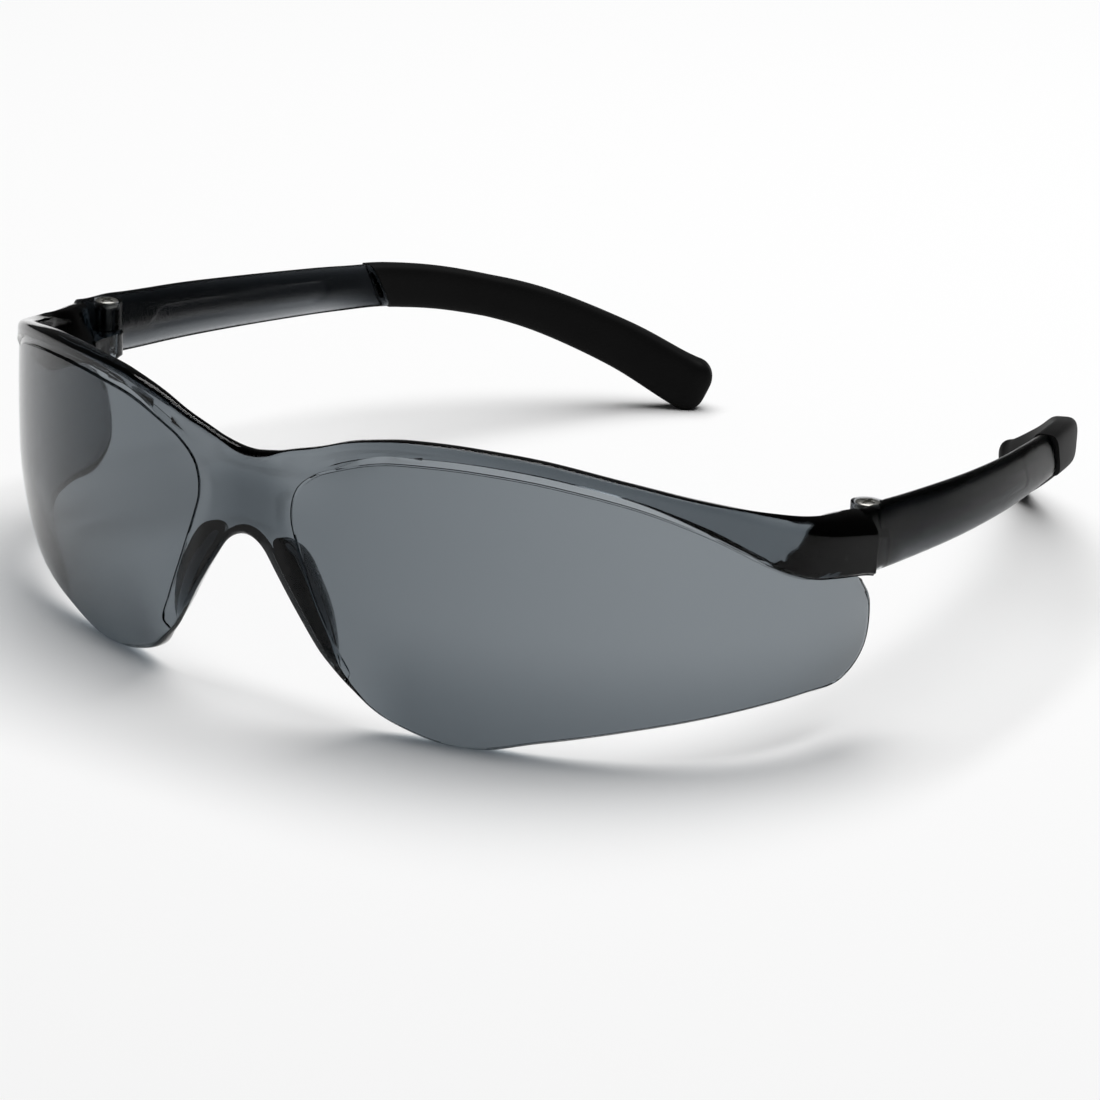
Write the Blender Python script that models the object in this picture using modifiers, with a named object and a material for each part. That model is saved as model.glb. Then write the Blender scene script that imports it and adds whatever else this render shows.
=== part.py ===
"""Wraparound safety glasses: a one-piece smoke lens shield, folding temples, rubber tips and hinge screws.

The glasses stand on a table as they are put down, on the two lens bottoms and the two temple tips.
X runs across the face with the wearer's left at +X, Y runs from the front to the back, and Z is up.
"""

import math

import bmesh
import bpy
from mathutils import Vector

MM = 0.001

# Clearances
SEAT_GAP = 0.3 * MM
HINGE_GAP = 0.3 * MM
EMBED = 1.2 * MM
TRIM_REACH = 8.0 * MM
TANGENT_STEP_DEG = 0.5
TANGENT_STEP_PLACE = 0.02
SEARCH_STEPS = 40

# Front surface of the lens shield: a squarish plan curve, barrel-shaped upright and leaning forwards
LENS_RADIUS = 75.6 * MM
LENS_UPPER_RADIUS = 310.0 * MM
LENS_LOWER_RADIUS = 66.0 * MM
LENS_SQUARENESS = 2.43
LENS_LEAN = math.tan(math.radians(4.4))
LENS_MIDDLE_Z = 22.0 * MM
LENS_CENTRE_Y = -7.8 * MM

# The wings of the shield turn in towards the head behind the end blocks
TOE_START = 46.0
TOE_FULL = 70.0
TOE_IN = 3.3 * MM

# Walls of the lens shield, measured inwards from its front surface
WINDOW_WALL = 2.2 * MM
BROW_WALL = 2.8 * MM
BRIDGE_TOP_WALL = 0.8 * MM
BRIDGE_TOP_ANGLES = (8.0, 34.0)

# End blocks: the brow thickens inwards to the seam with the temple. Each section stands at an angle, and its
# corners are (0 from the brow line or 1 from the top edge, rise in mm, depth in mm)
BLOCK_SECTIONS = (
    (52.5, (
        (0, 0.7, 0.6), (1, -1.6, 0.5), (1, -0.6, 0.9), (1, -0.3, 1.6), (1, -0.25, 2.3), (1, -0.4, 2.4),
        (1, -0.7, 2.5), (0, 0.7, 2.5),
    )),
    (60.5, (
        (0, 0.2, -0.2), (1, -2.4, -0.1), (1, -0.8, 0.5), (1, -0.1, 1.4), (1, -0.6, 4.6), (1, -2.4, 5.2),
        (1, -2.6, 6.6), (0, 1.2, 6.6),
    )),
    (69.9, (
        (0, 0.2, -0.25), (1, -3.2, -0.25), (1, -1.5, 0.9), (1, -0.55, 3.0), (1, -1.3, 6.4), (1, -2.6, 6.9),
        (1, -3.0, 7.6), (0, 1.4, 7.6),
    )),
)
BLOCK_STEPS = 4

# The shell's own top edge dips inside the end block, between these angles and by this much
BLOCK_DIP_ANGLES = (53.0, 70.0)
BLOCK_DIP = 1.6

# Edges of one half of the lens shield as (angle from the nose in degrees, height in mm), in matching steps
LOWER_EDGE = (
    (0.0, 26.7), (2.2, 24.9), (4.2, 21.3), (6.9, 15.8), (9.7, 10.1), (12.5, 6.1), (16.8, 2.0),
    (25.2, -0.45), (33.8, 2.3), (44.0, 5.3), (54.2, 7.4), (62.5, 8.25), (68.8, 8.5), (72.9, 12.5),
    (73.2, 19.5), (71.3, 23.6),
)
BROW_LINE = (
    (0.0, 36.3), (3.0, 36.4), (5.6, 36.8), (8.6, 37.4), (12.1, 39.4), (15.8, 41.0), (19.6, 41.8),
    (26.3, 42.2), (34.0, 41.4), (42.5, 38.8), (50.0, 34.6), (56.8, 29.5), (61.0, 27.0), (64.5, 26.3),
    (67.2, 26.0), (68.8, 25.6),
)
TOP_EDGE = (
    (0.0, 38.7), (3.2, 39.3), (6.0, 40.4), (9.0, 41.6), (12.4, 43.2), (16.0, 44.35), (19.8, 45.05),
    (26.0, 45.25), (33.8, 44.4), (42.5, 41.9), (50.5, 39.1), (57.5, 37.1), (62.3, 36.0), (65.8, 35.5),
    (67.6, 35.35), (69.2, 35.2),
)
STEPS_PER_EDGE_POINT = 2
WINDOW_ROWS = 8
BROW_ROWS = 2

# Nose pads: solid wedges behind the nose edges, as (place along the lower edge, share of the full section)
PAD_WIDTH = 5.6 * MM
PAD_DEPTH = 4.4 * MM
PAD_SPLAY = 3.3 * MM
PAD_LIP = 0.9 * MM
PAD_INSET = 0.35 * MM
PAD_STATIONS = (
    (0.65, 0.3), (0.9, 0.75), (1.3, 1.0), (1.8, 0.98), (2.6, 0.9), (3.3, 0.66), (3.8, 0.4), (4.3, 0.14),
)

# Hinges: a lug on the lens shield below, a knuckle on the temple above, and a screw down through both.
# The seam lies just ahead of the end block's outer corner, and the screw behind it and inside
SEAM_SETBACK = 0.4153 * MM
HINGE_REACH = 4.4 * MM
HINGE_INSET = 4.461 * MM
LUG_RADIUS = 2.7 * MM
LUG_ARM_OUTER = 1.9 * MM
LUG_BOTTOM = 26.9 * MM
LUG_TOP = 29.6 * MM
KNUCKLE_RADIUS = 2.4 * MM
KNUCKLE_TOP = 33.3 * MM
HEAD_SEAT_RADIUS = 2.48 * MM
SCREW_HEAD_RADIUS = 2.1 * MM
SCREW_HEAD_HEIGHT = 1.0 * MM
SCREW_SHANK_RADIUS = 0.9 * MM
SCREW_POINT = 0.5 * MM
SCREW_EDGE = 0.25 * MM
RECESS_LENGTH = 2.6 * MM
RECESS_WIDTH = 0.6 * MM
RECESS_DEPTH = 0.55 * MM
ROUND_SIDES = 24

# Centre line of a temple, tip included, in mm: across and back from the screw, and up from the table
TEMPLE_LINE = (
    (2.3, -5.1, 30.45), (1.8, 6.5, 29.3), (1.3, 19.5, 28.35), (0.3, 30.5, 27.5), (-1.4, 42.5, 26.6),
    (-3.8, 54.5, 25.75), (-6.6, 65.5, 24.75), (-11.2, 77.5, 22.35), (-18.3, 90.3, 18.1), (-27.1, 102.8, 11.2),
    (-34.7, 109.7, 5.45), (-38.5, 112.2, 3.4),
)
TEMPLE_HEIGHT_FRONT = 10.1 * MM
TEMPLE_HEIGHT_BACK = 7.2 * MM
TEMPLE_WALL_FRONT = 4.2 * MM
TEMPLE_WALL_BACK = 3.4 * MM
TEMPLE_SHOULDER = 1.5 * MM
TEMPLE_SHOULDER_END = 0.3
TEMPLE_END = 5.72
JOINT_SLANT = 5.0 * MM
JOINT_LEAN_START = 0.8
TEMPLE_STEPS = 20

# Tongue of the temple inside the rubber tip
TONGUE_HEIGHT = 4.2 * MM
TONGUE_WALL = 1.9 * MM
TONGUE_END = 8.6
TONGUE_STEPS = 8

# Rubber tip
TIP_HEIGHT_FRONT = 7.3 * MM
TIP_HEIGHT_WAIST = 6.8 * MM
TIP_HEIGHT_BACK = 9.2 * MM
TIP_WALL_FRONT = 4.0 * MM
TIP_WALL_BACK = 4.8 * MM
TIP_WAIST = 0.36
TIP_LEAN_END = 0.33
TIP_END = 10.45
TIP_ROUND = 3.2 * MM
TIP_STEPS = 14
TIP_ROUND_STEPS = 4

SECTION_SIDES = 16
SECTION_SQUARENESS = 4.0

SIDES = {"left": 1, "right": -1}
CRISP_ANGLE = 35.0


def clear_scene():
    """Remove every object that the scene holds."""
    for item in list(bpy.data.objects):
        bpy.data.objects.remove(item, do_unlink=True)


def new_collection(name):
    """Make a collection in the scene."""
    collection = bpy.data.collections.new(name)
    bpy.context.scene.collection.children.link(collection)
    return collection


def make_material(name, colour, roughness, metallic=0.0, transmission=0.0):
    """Make a Principled material."""
    material = bpy.data.materials.new(name)
    material.use_nodes = True
    shader = material.node_tree.nodes["Principled BSDF"]
    shader.inputs["Base Color"].default_value = (*colour, 1.0)
    shader.inputs["Roughness"].default_value = roughness
    shader.inputs["Metallic"].default_value = metallic
    shader.inputs["Transmission Weight"].default_value = transmission
    return material


def add_object(name, bm, collection, material=None, parent=None):
    """Turn a finished bmesh into a named object."""
    mesh = bpy.data.meshes.new(name)
    bm.to_mesh(mesh)
    bm.free()
    thing = bpy.data.objects.new(name, mesh)
    collection.objects.link(thing)
    if material is not None:
        mesh.materials.append(material)
    if parent is not None:
        thing.parent = parent
    return thing


def add_tool(name, bm, collection, parent=None):
    """Make a hidden wire object that only cuts or joins."""
    tool = add_object(name, bm, collection, parent=parent)
    tool.hide_render = True
    tool.display_type = "WIRE"
    return tool


def combine(target, tool, operation):
    """Put a Boolean with a tool on an object."""
    boolean = target.modifiers.new(f"{operation.lower()} {tool.name}", "BOOLEAN")
    boolean.operation = operation
    boolean.object = tool
    boolean.solver = "EXACT"


def shade(thing):
    """Shade smooth, with the sharper edges kept crisp."""
    thing.data.shade_smooth()
    thing.data.set_sharp_from_angle(angle=math.radians(CRISP_ANGLE))


def spline(points, place):
    """Read a smooth curve through points at a place counted in points from the first."""
    last = len(points) - 1
    index = min(max(int(math.floor(place)), 0), last - 1)
    share = place - index
    before = Vector(points[max(index - 1, 0)])
    start = Vector(points[index])
    end = Vector(points[index + 1])
    after = Vector(points[min(index + 2, last)])
    leave = (end - before) / 2 if index > 0 else end - start
    arrive = (after - start) / 2 if index < last - 1 else end - start
    bend = 3 * (end - start) - 2 * leave - arrive
    ease = 2 * (start - end) + leave + arrive
    return start + leave * share + bend * share**2 + ease * share**3


def blend(first, second, share):
    """Mix two sizes."""
    return first + (second - first) * min(max(share, 0.0), 1.0)


def lens_point(angle, height, toed=True):
    """Give the point of the lens front surface at an angle in degrees and a height.

    The wings turn in below the end blocks, whose own outer faces run straight on.
    """
    turn = math.radians(angle)
    rise = height - LENS_MIDDLE_Z
    barrel = LENS_UPPER_RADIUS if rise > 0 else LENS_LOWER_RADIUS
    radius = LENS_RADIUS - rise**2 / (2 * barrel)
    centre_y = LENS_CENTRE_Y - LENS_LEAN * rise
    spread = abs(math.sin(turn)) ** LENS_SQUARENESS + abs(math.cos(turn)) ** LENS_SQUARENESS
    reach = radius / spread ** (1 / LENS_SQUARENESS)
    toe = max(0.0, (abs(angle) - TOE_START) / (TOE_FULL - TOE_START)) if toed else 0.0
    across = reach * math.sin(turn) - math.copysign(TOE_IN * toe**2, angle)
    return Vector((across, centre_y - reach * math.cos(turn), height))


def seam_corner():
    """Give the outer corner of an end block, beside the top of its lug."""
    return lens_point(BLOCK_SECTIONS[-1][0], LUG_TOP, toed=False)


def lens_frame(angle, height, toed=True):
    """Give the outward sideways and the inward directions of the lens surface at a point."""
    ahead = lens_point(angle + TANGENT_STEP_DEG, height, toed)
    behind = lens_point(angle - TANGENT_STEP_DEG, height, toed)
    sideways = (ahead - behind).normalized()
    inward = Vector((-sideways.y, sideways.x, 0.0))
    return sideways, inward


SEAM_Y = seam_corner().y - SEAM_SETBACK
HINGE_X = seam_corner().x - HINGE_INSET
HINGE_Y = SEAM_Y + HINGE_REACH


def lens_half(collection, material):
    """Make the open front surface of half the shield, then mirror it and give it its walls."""
    columns = STEPS_PER_EDGE_POINT * (len(LOWER_EDGE) - 1)
    rows = WINDOW_ROWS + BROW_ROWS
    bpy.ops.mesh.primitive_grid_add(x_subdivisions=columns, y_subdivisions=rows, size=1.0)
    shield = bpy.context.object
    shield.name = "lens_shield"
    shield.data.name = "lens_shield"
    for old in list(shield.users_collection):
        old.objects.unlink(shield)
    collection.objects.link(shield)
    shield.data.materials.append(material)
    walls = shield.vertex_groups.new(name="walls")
    for vertex in shield.data.vertices:
        column = round((vertex.co.x + 0.5) * columns)
        row = round((vertex.co.y + 0.5) * rows)
        place = column / STEPS_PER_EDGE_POINT
        low = spline(LOWER_EDGE, place)
        brow = spline(BROW_LINE, place)
        top = spline(TOP_EDGE, place)
        if row <= WINDOW_ROWS:
            angle, height = low.lerp(brow, row / WINDOW_ROWS)
        else:
            start, full = BLOCK_DIP_ANGLES
            top.y -= BLOCK_DIP * blend(0.0, 1.0, (top.x - start) / (full - start))
            angle, height = brow.lerp(top, (row - WINDOW_ROWS) / BROW_ROWS)
        vertex.co = lens_point(angle, height * MM)
        wall = BROW_WALL if row >= WINDOW_ROWS else WINDOW_WALL
        if row == rows:
            start, full = BRIDGE_TOP_ANGLES
            wall = blend(BRIDGE_TOP_WALL, BROW_WALL, (angle - start) / (full - start))
        walls.add([vertex.index], wall / BROW_WALL, "REPLACE")
    mirror = shield.modifiers.new("other half", "MIRROR")
    mirror.use_axis = (True, False, False)
    mirror.use_clip = True
    mirror.merge_threshold = 0.01 * MM
    solidify = shield.modifiers.new("walls", "SOLIDIFY")
    solidify.thickness = BROW_WALL
    solidify.offset = -1.0
    solidify.use_even_offset = False
    solidify.vertex_group = walls.name
    solidify.thickness_vertex_group = 0.0
    return shield


def loft(rings):
    """Join closed rings of points, all of one count, into a capped body."""
    bm = bmesh.new()
    loops = [[bm.verts.new(point) for point in ring] for ring in rings]
    for first, second in zip(loops, loops[1:]):
        for index in range(len(first)):
            bm.faces.new((first[index - 1], first[index], second[index], second[index - 1]))
    bm.faces.new(reversed(loops[0]))
    bm.faces.new(loops[-1])
    if bm.calc_volume(signed=True) < 0:
        bmesh.ops.reverse_faces(bm, faces=bm.faces)
    return bm


def nose_pad(side, collection):
    """Make one wedge-shaped nose pad, its root inside the lens wall."""
    rings = []
    for place, share in PAD_STATIONS:
        angle, height = spline(LOWER_EDGE, place)
        base = lens_point(angle, height * MM)
        sideways, inward = lens_frame(angle, height * MM)
        root = WINDOW_WALL / 2
        corners = (
            (PAD_INSET, root),
            (PAD_INSET + PAD_SPLAY * share, root + PAD_DEPTH * share),
            (PAD_INSET + (PAD_SPLAY + PAD_LIP) * share, root + (PAD_DEPTH - PAD_LIP) * share),
            (PAD_INSET + PAD_WIDTH * share, root),
        )
        ring = [base + sideways * across + inward * back for across, back in corners]
        rings.append([Vector((side * point.x, point.y, point.z)) for point in ring])
    return add_tool(f"nose_pad_{side}", loft(rings), collection)


def end_block(side, collection):
    """Make one end block: it grows out of the brow with a rounded shoulder and ends flat at the seam."""
    rings = []
    for (start, first), (end, second) in zip(BLOCK_SECTIONS, BLOCK_SECTIONS[1:]):
        for step in range(BLOCK_STEPS + 1):
            share = step / BLOCK_STEPS
            if step == 0 and rings:
                continue
            rings.append(block_ring(side, blend(start, end, share), first, second, share))
    for point in rings[-1]:
        point.y = SEAM_Y
    return add_tool(f"end_block_{side}", loft(rings), collection)


def block_ring(side, angle, first, second, share):
    """Make one section of an end block between two of its set sections."""
    bottom = spline(BROW_LINE, edge_place(BROW_LINE, angle)).y
    top = spline(TOP_EDGE, edge_place(TOP_EDGE, angle)).y
    ring = []
    for root, full in zip(first, second):
        edge, rise, depth = Vector(root).lerp(Vector(full), share)
        height = (blend(bottom, top, edge) + rise) * MM
        inward = lens_frame(angle, height, toed=False)[1]
        point = lens_point(angle, height, toed=False) + inward * depth * MM
        ring.append(Vector((side * point.x, point.y, point.z)))
    return ring


def edge_place(edge, angle):
    """Find the place along an edge, counted in its points, that lies at an angle."""
    low, high = 0.0, len(edge) - 1.0
    for _ in range(SEARCH_STEPS):
        middle = (low + high) / 2
        if spline(edge, middle).x < angle:
            low = middle
        else:
            high = middle
    return low


def box_tool(name, low, high, collection, parent=None):
    """Make a box between two corners."""
    bm = bmesh.new()
    bmesh.ops.create_cube(bm, size=1.0)
    size = Vector(high) - Vector(low)
    centre = (Vector(high) + Vector(low)) / 2
    bmesh.ops.scale(bm, vec=size, verts=bm.verts)
    bmesh.ops.translate(bm, vec=centre, verts=bm.verts)
    return add_tool(name, bm, collection, parent)


def mirrored_box(name, side, low, high, collection):
    """Make a box on one side of the glasses from corners given for the left side."""
    ends = sorted((side * low[0], side * high[0]))
    return box_tool(name, (ends[0], low[1], low[2]), (ends[1], high[1], high[2]), collection)


def drum_tool(name, centre, radius, bottom, top, collection):
    """Make an upright cylinder."""
    bm = bmesh.new()
    bmesh.ops.create_cone(
        bm, cap_ends=True, segments=ROUND_SIDES, radius1=radius, radius2=radius, depth=top - bottom
    )
    bmesh.ops.translate(bm, vec=(centre[0], centre[1], (top + bottom) / 2), verts=bm.verts)
    return add_tool(name, bm, collection)


def build_lens_shield(collection, tools, table, material):
    """Make the lens shield with its nose pads, end blocks and hinge lugs."""
    shield = lens_half(collection, material)
    for side in SIDES.values():
        combine(shield, nose_pad(side, tools), "UNION")
        block = end_block(side, tools)
        arm = mirrored_box(
            f"lug_arm_{side}",
            side,
            (HINGE_X - LUG_RADIUS, SEAM_Y - EMBED, LUG_BOTTOM),
            (HINGE_X + LUG_ARM_OUTER, HINGE_Y, LUG_TOP),
            tools,
        )
        centre = (side * HINGE_X, HINGE_Y)
        boss = drum_tool(f"lug_boss_{side}", centre, LUG_RADIUS, LUG_BOTTOM, LUG_TOP, tools)
        combine(arm, boss, "UNION")
        combine(block, arm, "UNION")
        combine(shield, block, "UNION")
        bore = drum_tool(
            f"lug_bore_{side}",
            centre,
            SCREW_SHANK_RADIUS + SEAT_GAP,
            LUG_BOTTOM - EMBED,
            LUG_TOP + EMBED,
            tools,
        )
        combine(shield, bore, "DIFFERENCE")
    combine(shield, table, "DIFFERENCE")
    return shield


def temple_frame(place):
    """Give a temple's centre, sideways and upward directions at a place along its line."""
    last = len(TEMPLE_LINE) - 1
    ahead = spline(TEMPLE_LINE, min(place + TANGENT_STEP_PLACE, last))
    behind = spline(TEMPLE_LINE, max(place - TANGENT_STEP_PLACE, 0))
    along = (ahead - behind).normalized()
    sideways = along.cross(Vector((0, 0, 1))).normalized()
    upward = sideways.cross(along)
    return spline(TEMPLE_LINE, place) * MM, along, sideways, upward


def temple_ring(side, place, height, wall, slant=0.0, shift=0.0, shoulder=0.0):
    """Make a rounded upright section of a temple, relative to its hinge.

    A slant leans the section so that its top lies further forward, a shift moves it back and a shoulder
    rounds its outer top edge off.
    """
    centre, along, sideways, upward = temple_frame(place)
    ring = []
    for index in range(SECTION_SIDES):
        turn = 2 * math.pi * (index + 0.5) / SECTION_SIDES
        reach = (abs(math.cos(turn)) ** SECTION_SQUARENESS + abs(math.sin(turn)) ** SECTION_SQUARENESS) ** (
            -1 / SECTION_SQUARENESS
        )
        across = wall / 2 * reach * math.cos(turn)
        up = height / 2 * reach * math.sin(turn)
        lean = shift - slant * up / TEMPLE_HEIGHT_BACK
        if across > 0 and up > 0:
            up -= shoulder * (2 * across / wall) ** 2
        point = centre + sideways * across + upward * up + along * lean
        ring.append(Vector((side * point.x, point.y, point.z)))
    return ring


def tongue_rings(side, start, extra, shift=0.0):
    """Make the sections of the tongue, grown by a clearance on every side."""
    rings = []
    for step in range(TONGUE_STEPS + 1):
        share = step / TONGUE_STEPS
        place = blend(start, TONGUE_END, share)
        slant = JOINT_SLANT * (1 - share)
        growth = 2 * extra
        lean = shift if step == 0 else extra * share
        rings.append(temple_ring(side, place, TONGUE_HEIGHT + growth, TONGUE_WALL + growth, slant, lean))
    return rings


def temple_body_rings(side):
    """Make the sections of the temple from its front to the slanted joint line."""
    rings = []
    for step in range(TEMPLE_STEPS + 1):
        share = step / TEMPLE_STEPS
        place = TEMPLE_END * share
        height = blend(TEMPLE_HEIGHT_FRONT, TEMPLE_HEIGHT_BACK, share)
        wall = blend(TEMPLE_WALL_FRONT, TEMPLE_WALL_BACK, share)
        lean = max(0.0, (share - JOINT_LEAN_START) / (1 - JOINT_LEAN_START))
        shoulder = TEMPLE_SHOULDER * max(0.0, 1 - share / TEMPLE_SHOULDER_END)
        rings.append(temple_ring(side, place, height, wall, JOINT_SLANT * lean, shoulder=shoulder))
    return rings


def build_temple(name, side, hinge, collection, tools, material):
    """Make a temple with its hinge knuckle in front and its tongue behind."""
    bm = loft(temple_body_rings(side) + tongue_rings(side, TEMPLE_END, 0.0))
    temple = add_object(name, bm, collection, material, hinge)
    centre = (side * HINGE_X, HINGE_Y)
    underside = LUG_TOP + HINGE_GAP
    knuckle = drum_tool(
        f"{name}_knuckle", centre, KNUCKLE_RADIUS, LUG_TOP - EMBED, KNUCKLE_TOP + SCREW_HEAD_HEIGHT / 2, tools
    )
    pocket = drum_tool(
        f"{name}_lug_pocket", centre, LUG_RADIUS + HINGE_GAP, LUG_BOTTOM - TRIM_REACH, underside, tools
    )
    slot = mirrored_box(
        f"{name}_arm_slot",
        side,
        (HINGE_X - TRIM_REACH, SEAM_Y - EMBED, LUG_BOTTOM - TRIM_REACH),
        (HINGE_X + LUG_ARM_OUTER + HINGE_GAP, HINGE_Y, underside),
        tools,
    )
    bore = drum_tool(
        f"{name}_bore", centre, SCREW_SHANK_RADIUS + SEAT_GAP, LUG_BOTTOM, KNUCKLE_TOP + EMBED, tools
    )
    front = mirrored_box(
        f"{name}_front",
        side,
        (HINGE_X - TRIM_REACH, SEAM_Y - TRIM_REACH, LUG_BOTTOM - TRIM_REACH),
        (HINGE_X + TRIM_REACH, SEAM_Y + SEAT_GAP, KNUCKLE_TOP + TRIM_REACH),
        tools,
    )
    seat = drum_tool(
        f"{name}_head_seat",
        centre,
        HEAD_SEAT_RADIUS,
        KNUCKLE_TOP,
        KNUCKLE_TOP + TRIM_REACH,
        tools,
    )
    combine(temple, knuckle, "UNION")
    combine(pocket, slot, "UNION")
    combine(temple, pocket, "DIFFERENCE")
    combine(temple, bore, "DIFFERENCE")
    combine(temple, seat, "DIFFERENCE")
    combine(temple, front, "DIFFERENCE")
    return temple


def tip_rings(side):
    """Make the sections of a rubber tip from the slanted joint line to its rounded end."""
    rings = []
    for step in range(TIP_STEPS + 1):
        share = step / TIP_STEPS
        place = blend(TEMPLE_END, TIP_END, share)
        waist = blend(TIP_HEIGHT_FRONT, TIP_HEIGHT_WAIST, share / TIP_WAIST)
        height = blend(waist, TIP_HEIGHT_BACK, (share - TIP_WAIST) / (1 - TIP_WAIST))
        wall = blend(TIP_WALL_FRONT, TIP_WALL_BACK, share)
        slant = JOINT_SLANT * max(0.0, 1 - share / TIP_LEAN_END)
        shift = SEAT_GAP if step == 0 else 0.0
        rings.append(temple_ring(side, place, height, wall, slant, shift))
    for step in range(1, TIP_ROUND_STEPS + 1):
        turn = math.pi / 2 * step / (TIP_ROUND_STEPS + 0.5)
        shrink = 2 * TIP_ROUND * (1 - math.cos(turn))
        shift = TIP_ROUND * math.sin(turn)
        wall = TIP_WALL_BACK - shrink * TIP_WALL_BACK / TIP_HEIGHT_BACK
        rings.append(temple_ring(side, TIP_END, TIP_HEIGHT_BACK - shrink, wall, 0.0, shift))
    return rings


def build_tip(name, side, hinge, collection, tools, table, material):
    """Make a rubber tip with the socket that takes the temple's tongue."""
    tip = add_object(name, loft(tip_rings(side)), collection, material, hinge)
    socket = add_tool(f"{name}_socket", loft(tongue_rings(side, TEMPLE_END, SEAT_GAP, -EMBED)), tools, hinge)
    combine(tip, socket, "DIFFERENCE")
    combine(tip, table, "DIFFERENCE")
    return tip


def build_screw(name, side, collection, tools, material):
    """Make a hinge screw as a turned profile with a cross recess in its head."""
    seat = KNUCKLE_TOP + SEAT_GAP
    crown = seat + SCREW_HEAD_HEIGHT
    profile = (
        (0.0, crown),
        (SCREW_HEAD_RADIUS - SCREW_EDGE, crown),
        (SCREW_HEAD_RADIUS, crown - SCREW_EDGE),
        (SCREW_HEAD_RADIUS, seat),
        (SCREW_SHANK_RADIUS, seat),
        (SCREW_SHANK_RADIUS, LUG_BOTTOM + SCREW_POINT),
        (SCREW_SHANK_RADIUS - SCREW_POINT, LUG_BOTTOM),
        (0.0, LUG_BOTTOM),
    )
    mesh = bpy.data.meshes.new(name)
    points = [(radius, 0.0, height - seat) for radius, height in profile]
    mesh.from_pydata(points, [(i, i + 1) for i in range(len(points) - 1)], [])
    mesh.materials.append(material)
    screw = bpy.data.objects.new(name, mesh)
    collection.objects.link(screw)
    screw.location = (side * HINGE_X, HINGE_Y, seat)
    turned = screw.modifiers.new("turned profile", "SCREW")
    turned.steps = ROUND_SIDES
    turned.render_steps = ROUND_SIDES
    turned.use_merge_vertices = True
    turned.merge_threshold = 0.001 * MM
    centre = Vector((side * HINGE_X, HINGE_Y, crown))
    recesses = {"long": (RECESS_LENGTH, RECESS_WIDTH), "cross": (RECESS_WIDTH, RECESS_LENGTH)}
    for label, (length, width) in recesses.items():
        half = Vector((length / 2, width / 2, RECESS_DEPTH))
        slot = box_tool(f"{name}_{label}_slot", centre - half, centre + half, tools)
        combine(screw, slot, "DIFFERENCE")
    return screw


def main():
    """Build the glasses."""
    clear_scene()
    parts = new_collection("safety_glasses")
    tools = new_collection("cutters")
    smoke = make_material("smoke polycarbonate", (0.08, 0.085, 0.095), 0.08, transmission=0.6)
    arm = make_material("smoke polycarbonate arm", (0.03, 0.032, 0.036), 0.2, transmission=0.3)
    rubber = make_material("black rubber", (0.012, 0.012, 0.012), 0.6)
    steel = make_material("zinc plated steel", (0.62, 0.62, 0.6), 0.3, metallic=1.0)
    reach = 2 * LENS_RADIUS
    table = box_tool("table", (-reach, -reach, -reach), (reach, reach, 0.0), tools)
    shade(build_lens_shield(parts, tools, table, smoke))
    for label, side in SIDES.items():
        hinge = bpy.data.objects.new(f"{label}_hinge", None)
        hinge.location = (side * HINGE_X, HINGE_Y, 0.0)
        parts.objects.link(hinge)
        bpy.context.view_layer.update()
        shade(build_temple(f"{label}_temple", side, hinge, parts, tools, arm))
        shade(build_tip(f"{label}_temple_tip", side, hinge, parts, tools, table, rubber))
        shade(build_screw(f"{label}_hinge_screw", side, parts, tools, steel))


main()
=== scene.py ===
"""Looks of wraparound smoke safety glasses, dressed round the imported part.

Sizes are in millimetres until a mesh is written, which is in metres. X runs across the face with the
wearer's left at +X, Y from the lens to the temple tips, and Z up from the table.
"""

from __future__ import annotations

import logging
import math
from collections.abc import Iterator, Sequence
from contextlib import contextmanager
from dataclasses import dataclass
from enum import Enum

import bpy
import numpy as np
from mathutils import Matrix, Vector

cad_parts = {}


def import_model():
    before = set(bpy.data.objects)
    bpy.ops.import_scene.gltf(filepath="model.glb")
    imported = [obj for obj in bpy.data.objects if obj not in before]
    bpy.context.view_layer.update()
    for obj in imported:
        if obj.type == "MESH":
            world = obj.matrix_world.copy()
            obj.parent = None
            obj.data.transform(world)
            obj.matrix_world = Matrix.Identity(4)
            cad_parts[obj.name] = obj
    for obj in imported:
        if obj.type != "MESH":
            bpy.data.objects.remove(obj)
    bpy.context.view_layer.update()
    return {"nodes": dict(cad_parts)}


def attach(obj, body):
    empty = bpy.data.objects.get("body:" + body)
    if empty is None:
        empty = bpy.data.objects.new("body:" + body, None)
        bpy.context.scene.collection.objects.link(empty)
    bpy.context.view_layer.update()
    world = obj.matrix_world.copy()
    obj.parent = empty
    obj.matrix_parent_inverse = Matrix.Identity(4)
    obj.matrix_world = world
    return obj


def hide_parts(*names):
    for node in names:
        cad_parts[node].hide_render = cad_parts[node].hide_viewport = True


LOG = logging.getLogger("safety_glasses")
MM = 0.001
MERGE_DISTANCE = 1e-6
CREASE_ANGLE = math.radians(38.0)
QUAD_SIDES = 4
WHITE = "#FFFFFF"
# How far a cutter stands out of what it cuts, in millimetres
OVERCUT = 1.0
# How far before and after a place a curve is read for its direction
TANGENT_STEP = 0.02

Number = float | np.ndarray
Points = Sequence[Sequence[float]]
Pair = tuple[float, float]
# The share of the way from the brow line to the top edge, then rise and depth
Corner = tuple[Number, Number, Number]


class Side(Enum):
    """A side of the wearer, with the sign of its X."""

    LEFT = 1
    RIGHT = -1

    @property
    def word(self) -> str:
        """The side's name as the piece names use it."""
        return self.name.lower()

    @property
    def mirror(self) -> np.ndarray:
        """The factors that take a point of the left side to this side."""
        return np.array([self.value, 1.0, 1.0])


class Face(Enum):
    """A face of the shield."""

    FRONT = "front"
    BACK = "back"


class Operation(Enum):
    """What a tool does to the piece that it meets."""

    JOIN = "UNION"
    CUT = "DIFFERENCE"


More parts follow.
